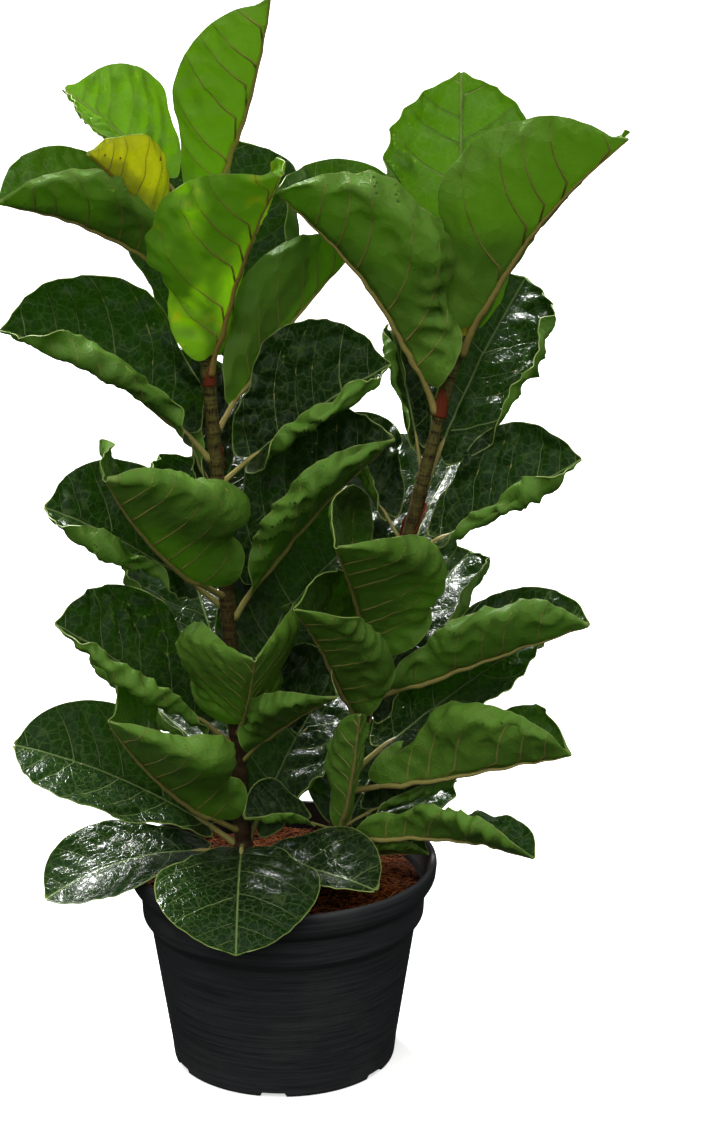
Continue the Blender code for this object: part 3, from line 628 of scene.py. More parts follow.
def blade_material(name, settings, tint, roughness, share, veins_show, sink):
    """A living blade: a face with a waxy cuticle, which also lets light through tinted by the leaf's green. A
    fading leaf turns yellow in patches, with brown freckles."""
    material, tree = new_material(name)
    flat, main, net, margin, mottle = leaf_pattern(tree, settings)
    darker = tuple(0.62 * c for c in tint.face)
    lighter = tuple(min(1, 1.28 * c) for c in tint.face)
    base = mixed(tree, mottle, rgba(darker), rgba(lighter))
    glow = rgba(tint.through)
    if tint.fade:
        pale = add(
            tree,
            "ShaderNodeMapRange",
            {"Value": mottle, "From Min": 0.62 - 0.4 * tint.fade, "From Max": 0.78 - 0.4 * tint.fade},
        ).outputs[0]
        freckles = add(
            tree, "ShaderNodeTexNoise", {"Vector": flat, "Scale": 1 / FRECKLE, "Detail": 3.0}
        ).outputs[0]
        freckles = add(
            tree,
            "ShaderNodeMapRange",
            {"Value": freckles, "From Min": 0.71 - 0.05 * tint.fade, "From Max": 0.75 - 0.05 * tint.fade},
        ).outputs[0]
        base = mixed(tree, pale, base, rgba(settings.fading_colour))
        base = mixed(tree, freckles, base, rgba(settings.freckle_colour))
        glow = mixed(tree, pale, glow, rgba(settings.fading_colour))
        glow = mixed(tree, freckles, glow, rgba(settings.freckle_colour))
    net_share = add(tree, "ShaderNodeMath", {0: net, 1: 0.22 * veins_show}, operation="MULTIPLY").outputs[0]
    base = mixed(tree, net_share, base, rgba(tint.vein))
    main_share = add(tree, "ShaderNodeMath", {0: main, 1: veins_show}, operation="MULTIPLY").outputs[0]
    base = mixed(tree, main_share, base, rgba(tint.vein))
    margin_share = add(tree, "ShaderNodeMath", {0: margin, 1: 0.75}, operation="MULTIPLY").outputs[0]
    base = mixed(tree, margin_share, base, rgba(settings.margin_colour))
    if sink:
        # Hard water dries to small pale rings and dots on the wax
        marks = add(
            tree, "ShaderNodeTexVoronoi", {"Vector": flat, "Scale": 1 / WATER_MARK_PITCH, "Randomness": 1.0}
        )
        chosen = add(tree, "ShaderNodeSeparateXYZ", {0: marks.outputs["Color"]}).outputs[0]
        limit = add(
            tree, "ShaderNodeMapRange", {"Value": chosen, "From Min": 0.55, "From Max": 1.0, "To Max": 0.09}
        ).outputs[0]
        near = {0: marks.outputs["Distance"], 1: limit}
        marks = add(tree, "ShaderNodeMath", near, operation="LESS_THAN").outputs[0]
        marks = add(tree, "ShaderNodeMath", {0: marks, 1: 0.20}, operation="MULTIPLY").outputs[0]
        base = mixed(tree, marks, base, rgba(settings.water_mark_colour))
    rough = add(
        tree,
        "ShaderNodeMapRange",
        {
            "Value": mottle,
            "From Min": 0.3,
            "From Max": 0.7,
            "To Min": roughness * 0.8,
            "To Max": roughness * 1.25,
        },
    ).outputs[0]
    grain = add(
        tree, "ShaderNodeTexNoise", {"Vector": flat, "Scale": 1 / (1.6 * MM), "Detail": 2.0}
    ).outputs[0]
    fine = add(tree, "ShaderNodeBump", {"Height": grain, "Distance": 0.06 * MM, "Strength": 0.5}).outputs[0]
    cells = add(
        tree,
        "ShaderNodeTexVoronoi",
        {"Vector": flat, "Scale": 1 / settings.net_size, "Smoothness": 0.4},
        feature="SMOOTH_F1",
    ).outputs["Distance"]
    hollow = add(tree, "ShaderNodeMath", {0: cells, 1: 0.8}, operation="MULTIPLY").outputs[0]
    relief = add(tree, "ShaderNodeMath", {0: net, 1: 0.3, 2: main}, operation="MULTIPLY_ADD").outputs[0]
    relief = add(tree, "ShaderNodeMath", {0: relief, 1: hollow}, operation="ADD").outputs[0]
    bump = add(
        tree,
        "ShaderNodeBump",
        {"Height": relief, "Distance": 0.7 * MM, "Strength": 0.8, "Normal": fine},
        invert=sink,
    ).outputs[0]
    skin = add(
        tree,
        "ShaderNodeBsdfPrincipled",
        {"Base Color": base, "Roughness": rough, "IOR": 1.45, "Normal": bump},
    ).outputs[0]
    glow = mixed(tree, main_share, glow, rgba(tint.vein))
    through = add(tree, "ShaderNodeBsdfTranslucent", {"Color": glow}).outputs[0]
    finish_with(tree, add(tree, "ShaderNodeMixShader", {0: share, 1: skin, 2: through}).outputs[0])
    return material


def solid_material(name, low, high, roughness, scale, bump=0.2 * MM, gloss=0.5):
    """A surface whose colour wanders between two shades in a grain of a real size, with relief to match."""
    material, tree = new_material(name)
    where = add(tree, "ShaderNodeUVMap", uv_map="flat").outputs[0]
    noise = add(
        tree, "ShaderNodeTexNoise", {"Vector": where, "Scale": 1 / scale, "Detail": 5.0, "Roughness": 0.6}
    ).outputs[0]
    share = add(tree, "ShaderNodeMapRange", {"Value": noise, "From Min": 0.32, "From Max": 0.68}).outputs[0]
    base = mixed(tree, share, rgba(low), rgba(high))
    rough = add(
        tree,
        "ShaderNodeMapRange",
        {
            "Value": noise,
            "From Min": 0.3,
            "From Max": 0.7,
            "To Min": roughness * 1.15,
            "To Max": roughness * 0.85,
        },
    ).outputs[0]
    relief = add(tree, "ShaderNodeBump", {"Height": noise, "Distance": bump, "Strength": 0.8}).outputs[0]
    skin = add(
        tree,
        "ShaderNodeBsdfPrincipled",
        {"Base Color": base, "Roughness": rough, "Specular IOR Level": gloss, "Normal": relief},
    )
    finish_with(tree, skin.outputs[0])
    return material


def leaf_materials(age, fade, settings):
    """The finishes of a leaf of one age, hard and dark to soft and light: faces, edge, veins and petiole."""

    def ease(old, new):
        return tuple(a + (b - a) * age for a, b in zip(old, new))

    tag = f"{round(age * 100):02d}_{round(fade * 100):02d}"
    upper = ease(settings.upper_colour, settings.young_upper_colour)
    under = ease(settings.under_colour, settings.young_under_colour)
    vein = ease(settings.vein_colour, settings.young_vein_colour)
    rib = ease(settings.rib_colour, settings.young_rib_colour)
    through = ease(settings.through_colour, settings.young_through_colour)
    share = settings.through_share + (settings.young_through_share - settings.through_share) * age
    above, below = Tint(upper, vein, through, fade), Tint(under, rib, through, fade)
    return [
        # The upper face wears a clear wax: over its dark green the light mirrors in sharp patches
        blade_material("waxy_upper_face_" + tag, settings, above, 0.19, share, 0.85, True),
        # The underside has no thick wax: it is lighter, satin, and its veins stand out brown
        blade_material("satin_underside_" + tag, settings, below, 0.46, share, 0.55, False),
        solid_material("leaf_edge_" + tag, settings.margin_colour, settings.margin_colour, 0.5, 8 * MM),
        solid_material("side_vein_" + tag, rib, tuple(1.15 * c for c in rib), 0.45, 6 * MM),
        solid_material(
            "petiole_" + tag, tuple(0.75 * c for c in rib), tuple(1.1 * c for c in rib), 0.42, 5 * MM
        ),
    ]


# ---- Settings ----


def colour_value(name, code, description):
    default = linear(code)
    return FloatVectorProperty(
        name=name, description=description, subtype="COLOR", default=default, min=0, max=1
    )


def length_value(name, metres, description):
    return FloatProperty(
        name=name, description=description, default=metres, min=0, unit="LENGTH", precision=5
    )


class FigLeafSettings(bpy.types.PropertyGroup):
    rows: IntProperty(name="Rows", description="Steps along each blade", default=76, min=8)
    columns: IntProperty(name="Columns", description="Steps across each half of a blade", default=20, min=4)
    side_veins: FloatProperty(name="Side veins", description="How many leave each side", default=6.2, min=1)
    thickness: length_value("Thickness", 0.8 * MM, "Thickness of a blade")
    groove: length_value("Groove", 1.4 * MM, "Depth of the groove over the midrib")
    midrib_radius: length_value("Midrib", 2.2 * MM, "Radius of the petiole and of the midrib at its base")
    vein_radius: length_value("Side vein", 0.75 * MM, "Radius of a side vein where it leaves the midrib")
    net_size: length_value("Net", 7.5 * MM, "Size of a mesh in the net of fine veins")
    upper_colour: colour_value("Upper face", "#0b1e0c", "Hard leaf, upper face")
    under_colour: colour_value("Underside", "#62912f", "Hard leaf, underside")
    vein_colour: colour_value("Veins above", "#7f9855", "Veins on the upper face of a hard leaf")
    rib_colour: colour_value("Veins below", "#9a9150", "Veins on the underside of a hard leaf")
    through_colour: colour_value("Light through", "#83b523", "Tint of light that passes a hard leaf")
    young_upper_colour: colour_value("Young upper face", "#6f9f35", "Soft leaf, upper face")
    young_under_colour: colour_value("Young underside", "#7dab36", "Soft leaf, underside")
    young_vein_colour: colour_value("Young veins above", "#b5c56f", "Veins on the upper face of a soft leaf")
    young_rib_colour: colour_value("Young veins below", "#93793b", "Veins on the underside of a soft leaf")
    young_through_colour: colour_value("Light through young", "#bbe038", "Tint of light through a soft leaf")
    margin_colour: colour_value("Margin", "#93a757", "Thin pale line round a blade")
    fading_colour: colour_value("Fading", "#cdd035", "Leaf that is turning yellow")
    freckle_colour: colour_value("Freckles", "#7d5312", "Brown freckles on a fading leaf")
    water_mark_colour: colour_value("Water marks", "#c5cdbb", "Lime that hard water leaves on the wax")
    through_share: FloatProperty(name="Light share", description="A hard leaf passes", default=0.22, max=1)
    young_through_share: FloatProperty(name="Young light share", description="Soft leaf", default=0.58, max=1)


class FigPotSettings(bpy.types.PropertyGroup):
    steps: IntProperty(name="Steps", description="Steps round the pot", default=288, min=24)
    wall: length_value("Wall", 1.8 * MM, "Thickness of the wall")
    notches: IntProperty(name="Notches", description="Gaps in the foot", default=6, min=0)
    notch_width: length_value("Notch width", 22 * MM, "Width of each gap in the foot")
    notch_height: length_value("Notch height", 4.2 * MM, "Height of each gap in the foot")
    colour: colour_value("Plastic", "#222324", "The pot's plastic")
    # Paler colour of the raised level lines: painted sheen
    streak_sheen_colour: colour_value("Streaks", "#3b3c3d", "Paler drawn lines in the plastic")
    dust_colour: colour_value("Dust", "#57544f", "Dry dust in the scuffs")


class FigMixSettings(bpy.types.PropertyGroup):
    fibres: IntProperty(name="Fibres", description="Loose coir fibres", default=2200, min=0)
    crumbs: IntProperty(name="Crumbs", description="Lumps of coir", default=700, min=0)
    fibre_length: length_value("Fibre length", 26 * MM, "Length of the longest fibre")
    # The bed and crumbs of the mix are painted dark in the hollows of their relief and light on its crests:
    # painted shade
    dark_colour: colour_value("Mix in painted shade", "#170a05", "Mix in its hollows")
    light_colour: colour_value("Mix on lit crests", "#4a230e", "Mix on its crests")
    fibre_colour: colour_value("Fibres", "#9a5320", "Dry fibres")


class FigStemSettings(bpy.types.PropertyGroup):
    sides: IntProperty(name="Sides", description="Steps round a stem", default=24, min=6)
    rings: IntProperty(name="Rings", description="Steps along a stem", default=230, min=20)
    scar: length_value("Scar", 0.8 * MM, "How far a leaf scar stands out")
    bark_colour: colour_value("Bark", "#463120", "Old bark")
    bark_dark_colour: colour_value("Bark cracks", "#24170b", "Cracks in old bark")
    shoot_colour: colour_value("Shoot", "#6a6a2c", "Green skin of the young stem")
    sheath_colour: colour_value("Dry sheath", "#7a3418", "Papery sheath left at a node")
    bud_colour: colour_value("Bud", "#c9bf3c", "Sheath of the growing tip")


class FigStageSettings(bpy.types.PropertyGroup):
    floor_colour: colour_value("Floor", "#f2f2f0", "Pale painted floor")
    floor_light: FloatProperty(name="Floor light", description="Lamps under its cloth", default=0.62, min=0)
    key: FloatProperty(name="Key light", description="From above and behind, on the left", default=6.0, min=0)
    fill: FloatProperty(name="Fill light", description="From above and in front", default=2.3, min=0)
    sky: FloatProperty(name="Room light", description="From all round", default=0.36, min=0)


SETTINGS = {
    "fig_leaves": FigLeafSettings,
    "fig_pot": FigPotSettings,
    "fig_mix": FigMixSettings,
    "fig_stems": FigStemSettings,
    "fig_stage": FigStageSettings,
}


# ---- Pot ----

LIP_DEPTH = 0.022
NECK_DEPTH = 0.050
BODY_TOP_DEPTH = 0.059
FOOT_WIDTH = 0.007
CHANNEL_HEIGHT = 0.006
FLOOR_THICKNESS = 0.0025
PAD_RADIUS = 0.066
NECK_RADIUS = 0.1235
BODY_TOP_RADIUS = 0.1165
BASE_RADIUS = 0.0985
FIRST_NOTCH = math.radians(266)
DRAIN_RADIUS = 0.0055
DRAIN_CIRCLE = 0.079
SOIL_CROWN = 0.007


def rounded(corners, radius, steps=4):
    """An outline with each inner corner turned into a short curve."""
    corners = [np.array(c, float) for c in corners]
    line = [corners[0]]
    for before, corner, after in zip(corners, corners[1:], corners[2:]):
        reach = [min(radius, 0.45 * np.linalg.norm(end - corner)) for end in (before, after)]
        start = corner + unit(before - corner) * reach[0]
        end = corner + unit(after - corner) * reach[1]
        for v in np.linspace(0, 1, steps + 1):
            line.append((1 - v) ** 2 * start + 2 * v * (1 - v) * corner + v**2 * end)
    line.append(corners[-1])
    return np.array(line)


def turned_skin(outline, steps):
    """A skin turned about Z from an outline that starts and ends on the axis: points, flat map and ends."""
    turn = 2 * np.pi * np.arange(steps) / steps
    radius, height = outline[1:-1, 0], outline[1:-1, 1]
    rim = np.stack([radius[:, None] * np.cos(turn), radius[:, None] * np.sin(turn)], -1)
    points = np.concatenate([rim, np.broadcast_to(height[:, None, None], rim.shape[:2] + (1,))], -1)
    run = np.concatenate([[0], np.cumsum(np.linalg.norm(np.diff(outline[1:-1], axis=0), axis=1))])
    flat = np.stack(np.broadcast_arrays(turn * radius.max(), run[:, None]), -1)
    return points, flat, outline[[0, -1]]


def close_turned(shape, points, flat, ends, slot):
    """Add a turned skin to a shape, with a fan at each of its two ends on the axis."""
    rows, steps = points.shape[:2]
    faces = [tuple(f[::-1]) for f in grid_faces(rows, steps, wrap=True)]
    first, last = rows * steps, rows * steps + 1
    for j in range(steps):
        k = (j + 1) % steps
        faces.append((first, j, k))
        faces.append((last, (rows - 1) * steps + k, (rows - 1) * steps + j))
    centre = np.array([[0, 0, ends[0][1]], [0, 0, ends[1][1]]])
    maps = np.concatenate([flat.reshape(-1, 2), np.zeros((2, 2))])
    shape.add(np.concatenate([points.reshape(-1, 3), centre]), faces, slot, maps)


def pot_outline(wall):
    lip, _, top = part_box("pot")[1]
    corners = [
        (0, FLOOR_THICKNESS),
        (PAD_RADIUS - 0.001, FLOOR_THICKNESS),
        (PAD_RADIUS + 0.003, CHANNEL_HEIGHT + FLOOR_THICKNESS),
        (BASE_RADIUS - wall - 0.001, CHANNEL_HEIGHT + FLOOR_THICKNESS),
        (BODY_TOP_RADIUS - wall, top - BODY_TOP_DEPTH),
        (NECK_RADIUS - wall, top - NECK_DEPTH),
        (NECK_RADIUS - wall + 0.0024, top - LIP_DEPTH),
        (lip - 0.0060, top - 0.0030),
        (lip - 0.0048, top),
        (lip - 0.0010, top - 0.0004),
        (lip, top - 0.0050),
        (lip - 0.0012, top - LIP_DEPTH + 0.006),
        (lip - 0.0045, top - LIP_DEPTH),
        (NECK_RADIUS + 0.0012, top - LIP_DEPTH - 0.006),
        (NECK_RADIUS, top - NECK_DEPTH),
        (BODY_TOP_RADIUS, top - BODY_TOP_DEPTH),
        (BASE_RADIUS + 0.0012, 0.016),
        (BASE_RADIUS, 0.0045),
        (BASE_RADIUS - 0.0008, 0),
        (BASE_RADIUS - FOOT_WIDTH, 0),
        (BASE_RADIUS - FOOT_WIDTH - 0.003, CHANNEL_HEIGHT),
        (PAD_RADIUS + 0.004, CHANNEL_HEIGHT),
        (PAD_RADIUS, 0),
        (0, 0),
    ]
    return rounded(corners, 0.0022)


def spread_rows(outline, longest):
    """The outline with more points on its long straight runs."""
    line = [outline[0]]
    for near, far in zip(outline, outline[1:]):
        count = max(1, math.ceil(np.linalg.norm(far - near) / longest))
        line += [near + (far - near) * (i + 1) / count for i in range(count)]
    return np.array(line)


class FIG_OT_pot(bpy.types.Operator):
    """Build the moulded pot"""

    bl_idname = "fig.pot"
    bl_label = "Pot"

    def execute(self, context):
        settings = context.scene.fig_pot
        shape = Shape()
        outline = spread_rows(pot_outline(settings.wall), 0.012)
        points, flat, ends = turned_skin(outline, settings.steps)
        angle = 2 * np.pi * np.arange(settings.steps) / settings.steps
        pitch = 2 * np.pi / settings.notches
        off = np.abs((angle - FIRST_NOTCH + pitch / 2) % pitch - pitch / 2) * BASE_RADIUS
        on_foot = points[:, 0, 0] > BASE_RADIUS - FOOT_WIDTH - 0.004
        foot = on_foot[:, None] & (off < settings.notch_width / 2)
        points[..., 2] = np.where(foot, np.maximum(points[..., 2], settings.notch_height), points[..., 2])
        close_turned(shape, points, flat, ends, 0)
        pot = shape.build("moulded_pot", [pot_material(settings)])
        drill_drains(pot, settings.notches)
        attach(pot, "root")
        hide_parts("pot")
        return {"FINISHED"}


def drill_drains(pot, count):
    drills = Shape()
    for i in range(count):
        angle = FIRST_NOTCH + 2 * math.pi / count * (i + 0.5)
        foot = np.array([DRAIN_CIRCLE * math.cos(angle), DRAIN_CIRCLE * math.sin(angle), CHANNEL_HEIGHT])
        path = foot + np.array([[0, 0, -0.006], [0, 0, 0.006]])
        add_tube(drills, path, np.full(2, DRAIN_RADIUS), 24, 0, np.array([[1.0, 0, 0]] * 2))
    drill = drills.build("drills", [])
    boolean = pot.modifiers.new("drains", "BOOLEAN")
    boolean.operation = "DIFFERENCE"
    boolean.solver = "EXACT"
    boolean.object = drill
    bpy.context.view_layer.update()
    drilled = bpy.data.meshes.new_from_object(pot.evaluated_get(bpy.context.evaluated_depsgraph_get()))
    pot.modifiers.clear()
    pot.data = drilled
    bpy.data.objects.remove(drill, do_unlink=True)
    drilled.set_sharp_from_angle(angle=math.radians(50))


def pot_material(settings):
    """Polypropylene, injection moulded in a turned mould: a satin skin whose level lines catch the light, and
    are also painted paler as painted sheen.
    """
    material, tree = new_material("moulded_polypropylene")
    flat = add(tree, "ShaderNodeUVMap", uv_map="flat").outputs[0]
    heights = []
    # Lines 0.9 mm and 3 mm apart, a few centimetres long
    for pitch, run in ((0.9 * MM, 45 * MM), (3.0 * MM, 120 * MM)):
        where = add(tree, "ShaderNodeMapping", {"Vector": flat, "Scale": (1 / run, 1 / pitch, 1)}).outputs[0]
        heights.append(
            add(tree, "ShaderNodeTexNoise", {"Vector": where, "Scale": 1.0, "Detail": 3.0}).outputs[0]
        )
    lines = add(tree, "ShaderNodeMath", {0: heights[0], 1: heights[1]}, operation="ADD").outputs[0]
    share = add(
        tree,
        "ShaderNodeMapRange",
        {"Value": lines, "From Min": 0.75, "From Max": 1.3, "To Min": 0.0, "To Max": 1.0},
    ).outputs[0]
    scuffs = add(tree, "ShaderNodeTexNoise", {"Vector": flat, "Scale": 14.0, "Detail": 6.0}).outputs[0]
    # The raised level lines are painted paler: painted sheen over their real relief and roughness
    base = mixed(tree, share, rgba(settings.colour), rgba(settings.streak_sheen_colour))
    dusty = add(
        tree, "ShaderNodeMapRange", {"Value": scuffs, "From Min": 0.52, "From Max": 0.8, "To Max": 0.25}
    ).outputs[0]
    base = mixed(tree, dusty, base, rgba(settings.dust_colour))
    rough = add(
        tree,
        "ShaderNodeMapRange",
        {"Value": lines, "From Min": 0.7, "From Max": 1.3, "To Min": 0.42, "To Max": 0.60},
    ).outputs[0]
    relief = add(tree, "ShaderNodeBump", {"Height": lines, "Distance": 0.12 * MM, "Strength": 0.6}).outputs[0]
    skin = add(
        tree,
        "ShaderNodeBsdfPrincipled",
        {"Base Color": base, "Roughness": rough, "IOR": 1.49, "Normal": relief},
    )
    finish_with(tree, skin.outputs[0])
    return material


# ---- Potting mix ----


def add_strands(shape, paths, radii, sides, slot):
    """Many slim bars at once. paths is strand by point by xyz, radii strand by point."""
    ahead = unit(np.gradient(paths, axis=1))
    beside = unit(np.cross(ahead, np.array([0.0, 0.0, 1.0]) + 0.001))
    upward = np.cross(beside, ahead)
    turn = 2 * np.pi * np.arange(sides) / sides
    ring = np.cos(turn)[:, None] * beside[:, :, None] + np.sin(turn)[:, None] * upward[:, :, None]
    points = paths[:, :, None] + radii[:, :, None, None] * ring
    strands, length = paths.shape[:2]
    skin = grid_faces(length, sides, wrap=True)
    faces = []
    for start in range(0, strands * length * sides, length * sides):
        faces += [tuple(face + start) for face in skin]
        faces.append(tuple(start + i for i in range(sides)))
        faces.append(tuple(start + length * sides - 1 - i for i in range(sides)))
    flat = np.stack([points[..., 0], points[..., 1]], -1).reshape(-1, 2) + points[..., 2].reshape(-1, 1)
    shape.add(points, faces, slot, flat)


class FIG_OT_mix(bpy.types.Operator):
    """Build the potting mix with its coir fibres"""

    bl_idname = "fig.mix"
    bl_label = "Potting mix"

    def execute(self, context):
        settings = context.scene.fig_mix
        low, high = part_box("potting_mix")
        luck = np.random.default_rng(7)
        level = high[2] - SOIL_CROWN
        reach = high[0]

        def crown(radius):
            return level + SOIL_CROWN * (1 - smooth_step(radius, 0.0, 0.118))

        radii = np.linspace(0, reach - 0.002, 46)
        top = [(r, crown(r)) for r in radii]
        wall = context.scene.fig_pot.wall
        side = [
            (NECK_RADIUS - wall - 0.0012, level - 0.004),
            (NECK_RADIUS - wall - 0.0012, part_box("pot")[1][2] - NECK_DEPTH + 0.002),
            (BODY_TOP_RADIUS - wall - 0.0012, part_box("pot")[1][2] - BODY_TOP_DEPTH),
            (BASE_RADIUS - wall - 0.002, low[2] + 0.010),
            (PAD_RADIUS + 0.002, low[2] + 0.0065),
            (PAD_RADIUS - 0.003, low[2]),
            (0, low[2]),
        ]
        outline = np.array(top + side)
        shape = Shape()
        points, flat, ends = turned_skin(outline, 150)
        flat = points[..., :2].copy()
        near_top = smooth_step(points[..., 2], level - 0.004, level - 0.001)
        x, y = points[..., 0], points[..., 1]
        rough = lumps(x, y, luck, 0.004, 0.030, 26)
        calm = 1 - smooth_step(np.hypot(x, y), reach - 0.010, reach)
        points[..., 2] += 0.0014 * rough * near_top * calm - 0.0015 * near_top
        close_turned(shape, points, flat, ends, 0)

        def laid(count, longest, thick, bend):
            """Strands lying on the mix at random, arched a little."""
            radius = (reach - 0.006) * np.sqrt(luck.uniform(0, 1, count))
            angle = luck.uniform(0, 2 * np.pi, count)
            heading = luck.uniform(0, 2 * np.pi, count)
            length = longest * luck.uniform(0.25, 1, count)
            turn = luck.normal(0, bend, count)
            along = np.linspace(-0.5, 0.5, 6)
            way = heading[:, None] + turn[:, None] * along
            steps = length[:, None] / 5
            x = radius * np.cos(angle)
            y = radius * np.sin(angle)
            px = x[:, None] + np.cumsum(np.cos(way) * steps, 1) - (np.cos(way) * steps).sum(1)[:, None] / 2
            py = y[:, None] + np.cumsum(np.sin(way) * steps, 1) - (np.sin(way) * steps).sum(1)[:, None] / 2
            out = np.hypot(px, py)
            pull = np.minimum(1, (reach - 0.003) / np.maximum(out, 1e-9))
            px, py = px * pull, py * pull
            arch = luck.uniform(-0.05, 0.16, count)[:, None] * length[:, None] * (1 - (2 * along) ** 2)
            pz = crown(np.hypot(px, py)) + arch + luck.uniform(-0.001, 0.0012, count)[:, None]
            radii = thick * luck.uniform(0.5, 1, count)[:, None] * (1 - 0.6 * np.abs(2 * along) ** 2)
            return np.stack([px, py, pz], -1), radii

        add_strands(shape, *laid(settings.fibres, settings.fibre_length, 0.45 * MM, 1.4), 4, 1)
        add_strands(shape, *laid(settings.crumbs, 8 * MM, 2.0 * MM, 0.5), 5, 2)
        dark, light = settings.dark_colour, settings.light_colour
        # Coconut coir: matted fibres the brown of the husk. The bed and crumbs are painted nearly black in
        # the hollows of their relief and lighter on its crests, as painted shade
        mix = shape.build(
            "coir_mix",
            [
                solid_material("coir_bed_painted_hollow_shade", dark, light, 0.95, 6 * MM, 1.5 * MM, 0.1),
                solid_material("dry_coir_fibre", light, settings.fibre_colour, 0.85, 9 * MM, 0.2 * MM, 0.15),
                solid_material("coir_crumbs", dark, light, 0.95, 5 * MM, 0.8 * MM, 0.1),
            ],
        )
        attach(mix, "root")
        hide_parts("potting_mix")
        return {"FINISHED"}


# ---- Stems and buds ----

# Papery sheaths left at the nodes: stem, height in cm, azimuth, length in cm and how far the tip stands off
# in mm
SHEATHS = [
    (RIGHT, 50.2, 262, 3.0, 3.5),
    (RIGHT, 48.0, 215, 2.6, 5.0),
    (RIGHT, 46.2, 300, 2.8, 4.0),
    (RIGHT, 44.2, 240, 2.2, 3.0),
    (RIGHT, 58.0, 60, 2.4, 2.5),
    (LEFT, 60.8, 140, 2.2, 2.5),
    (LEFT, 53.6, 250, 2.0, 2.5),
    (LEFT, 44.0, 60, 2.0, 3.0),
]
SHEATH_THICKNESS = 0.4 * MM


def add_sheath(shape, stem, height, azimuth, length, flare):
    """A dry pointed sheath that half wraps a stem and lifts at its tip."""
    v = np.linspace(0, 1, 15)
    w = np.linspace(-1, 1, 13)
    ridge = []
    for share in v:
        level = height * CM + share * length * CM
        centre, up = stem_point(stem, level), stem_direction(stem, level)
        first = unit(np.cross(up, [0.0, 1.0, 0.0]))
        second = np.cross(up, first)
        wrap = math.radians(95) * (1 - share) ** 0.7 * w + math.radians(azimuth)
        off = stem_radius(stem, level) + 0.8 * MM + flare * MM * share**2 * (1 - 0.2 * w**2)
        ridge.append(centre + off[:, None] * (np.cos(wrap)[:, None] * first + np.sin(wrap)[:, None] * second))
    middle = np.array(ridge)
    crease = 0.5 * MM * np.sin(9 * w[None] + 5 * v[:, None]) * v[:, None]
    normal = -grid_normal(middle)
    middle = middle + crease[..., None] * normal
    add_sheet(shape, middle, normal, SHEATH_THICKNESS, (1, 1, 1))


class FIG_OT_stems(bpy.types.Operator):
    """Build both stems with their leaf scars and dry sheaths"""

    bl_idname = "fig.stems"
    bl_label = "Stems"

    def execute(self, context):
        settings = context.scene.fig_stems
        bark = bark_material(settings)
        paper = solid_material(
            "dry_papery_sheath",
            tuple(0.45 * c for c in settings.sheath_colour),
            settings.sheath_colour,
            0.7,
            3 * MM,
        )
        for stem in (LEFT, RIGHT):
            shape = Shape()
            foot, top = stem.line[0][2] * CM, stem.line[-1][2] * CM
            heights = np.linspace(foot, top, settings.rings)
            path = np.array([stem_point(stem, h) for h in heights])
            radii = np.array([stem_radius(stem, h) for h in heights])
            scars = [leaf.height * CM for leaf in LEAVES if leaf.stem is stem]
            for scar in scars:
                radii += settings.scar * np.exp(-(((heights - scar + 0.002) / 0.0028) ** 2))
            radii += 0.12 * MM * np.sin(heights / 0.0021) * np.sin(heights / 0.0145)
            above = np.tile([0.0, -1.0, 0.0], (len(path), 1))
            add_tube(shape, path, radii, settings.sides, 0, above)
            for sheath in SHEATHS:
                if sheath[0] is stem:
                    add_sheath(shape, *sheath)
            piece = shape.build("bark_" + stem.name, [bark, paper])
            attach(piece, "root")
            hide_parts(stem.name)
        return {"FINISHED"}


def bark_material(settings):
    """Young fig bark: brown cork with fine upright cracks and level rings, greener towards the tip."""
    material, tree = new_material("young_fig_bark")
    flat = add(tree, "ShaderNodeUVMap", uv_map="flat").outputs[0]
    place = add(tree, "ShaderNodeSeparateXYZ", {0: flat})
    cracks = add(
        tree, "ShaderNodeMapping", {"Vector": flat, "Scale": (1 / (1.2 * MM), 1 / (7 * MM), 1)}
    ).outputs[0]
    cracks = add(tree, "ShaderNodeTexNoise", {"Vector": cracks, "Scale": 1.0, "Detail": 4.0}).outputs[0]
    rings = add(
        tree, "ShaderNodeMapping", {"Vector": flat, "Scale": (1 / (20 * MM), 1 / (2.4 * MM), 1)}
    ).outputs[0]
    rings = add(tree, "ShaderNodeTexNoise", {"Vector": rings, "Scale": 1.0, "Detail": 2.0}).outputs[0]
    relief = add(tree, "ShaderNodeMath", {0: cracks, 1: rings}, operation="ADD").outputs[0]
    share = add(
        tree, "ShaderNodeMapRange", {"Value": relief, "From Min": 0.8, "From Max": 1.2, "To Max": 1.0}
    ).outputs[0]
    bark = mixed(tree, share, rgba(settings.bark_dark_colour), rgba(settings.bark_colour))
    young = add(
        tree,
        "ShaderNodeMapRange",
        {"Value": place.outputs[1], "From Min": 0.22, "From Max": 0.52, "To Min": 0.05, "To Max": 0.75},
    ).outputs[0]
    patch = add(tree, "ShaderNodeMath", {0: share, 1: young}, operation="MULTIPLY").outputs[0]
    base = mixed(tree, patch, bark, rgba(settings.shoot_colour))
    bump = add(tree, "ShaderNodeBump", {"Height": relief, "Distance": 0.5 * MM, "Strength": 0.8}).outputs[0]
    skin = add(tree, "ShaderNodeBsdfPrincipled", {"Base Color": base, "Roughness": 0.6, "Normal": bump})
    finish_with(tree, skin.outputs[0])
    return material


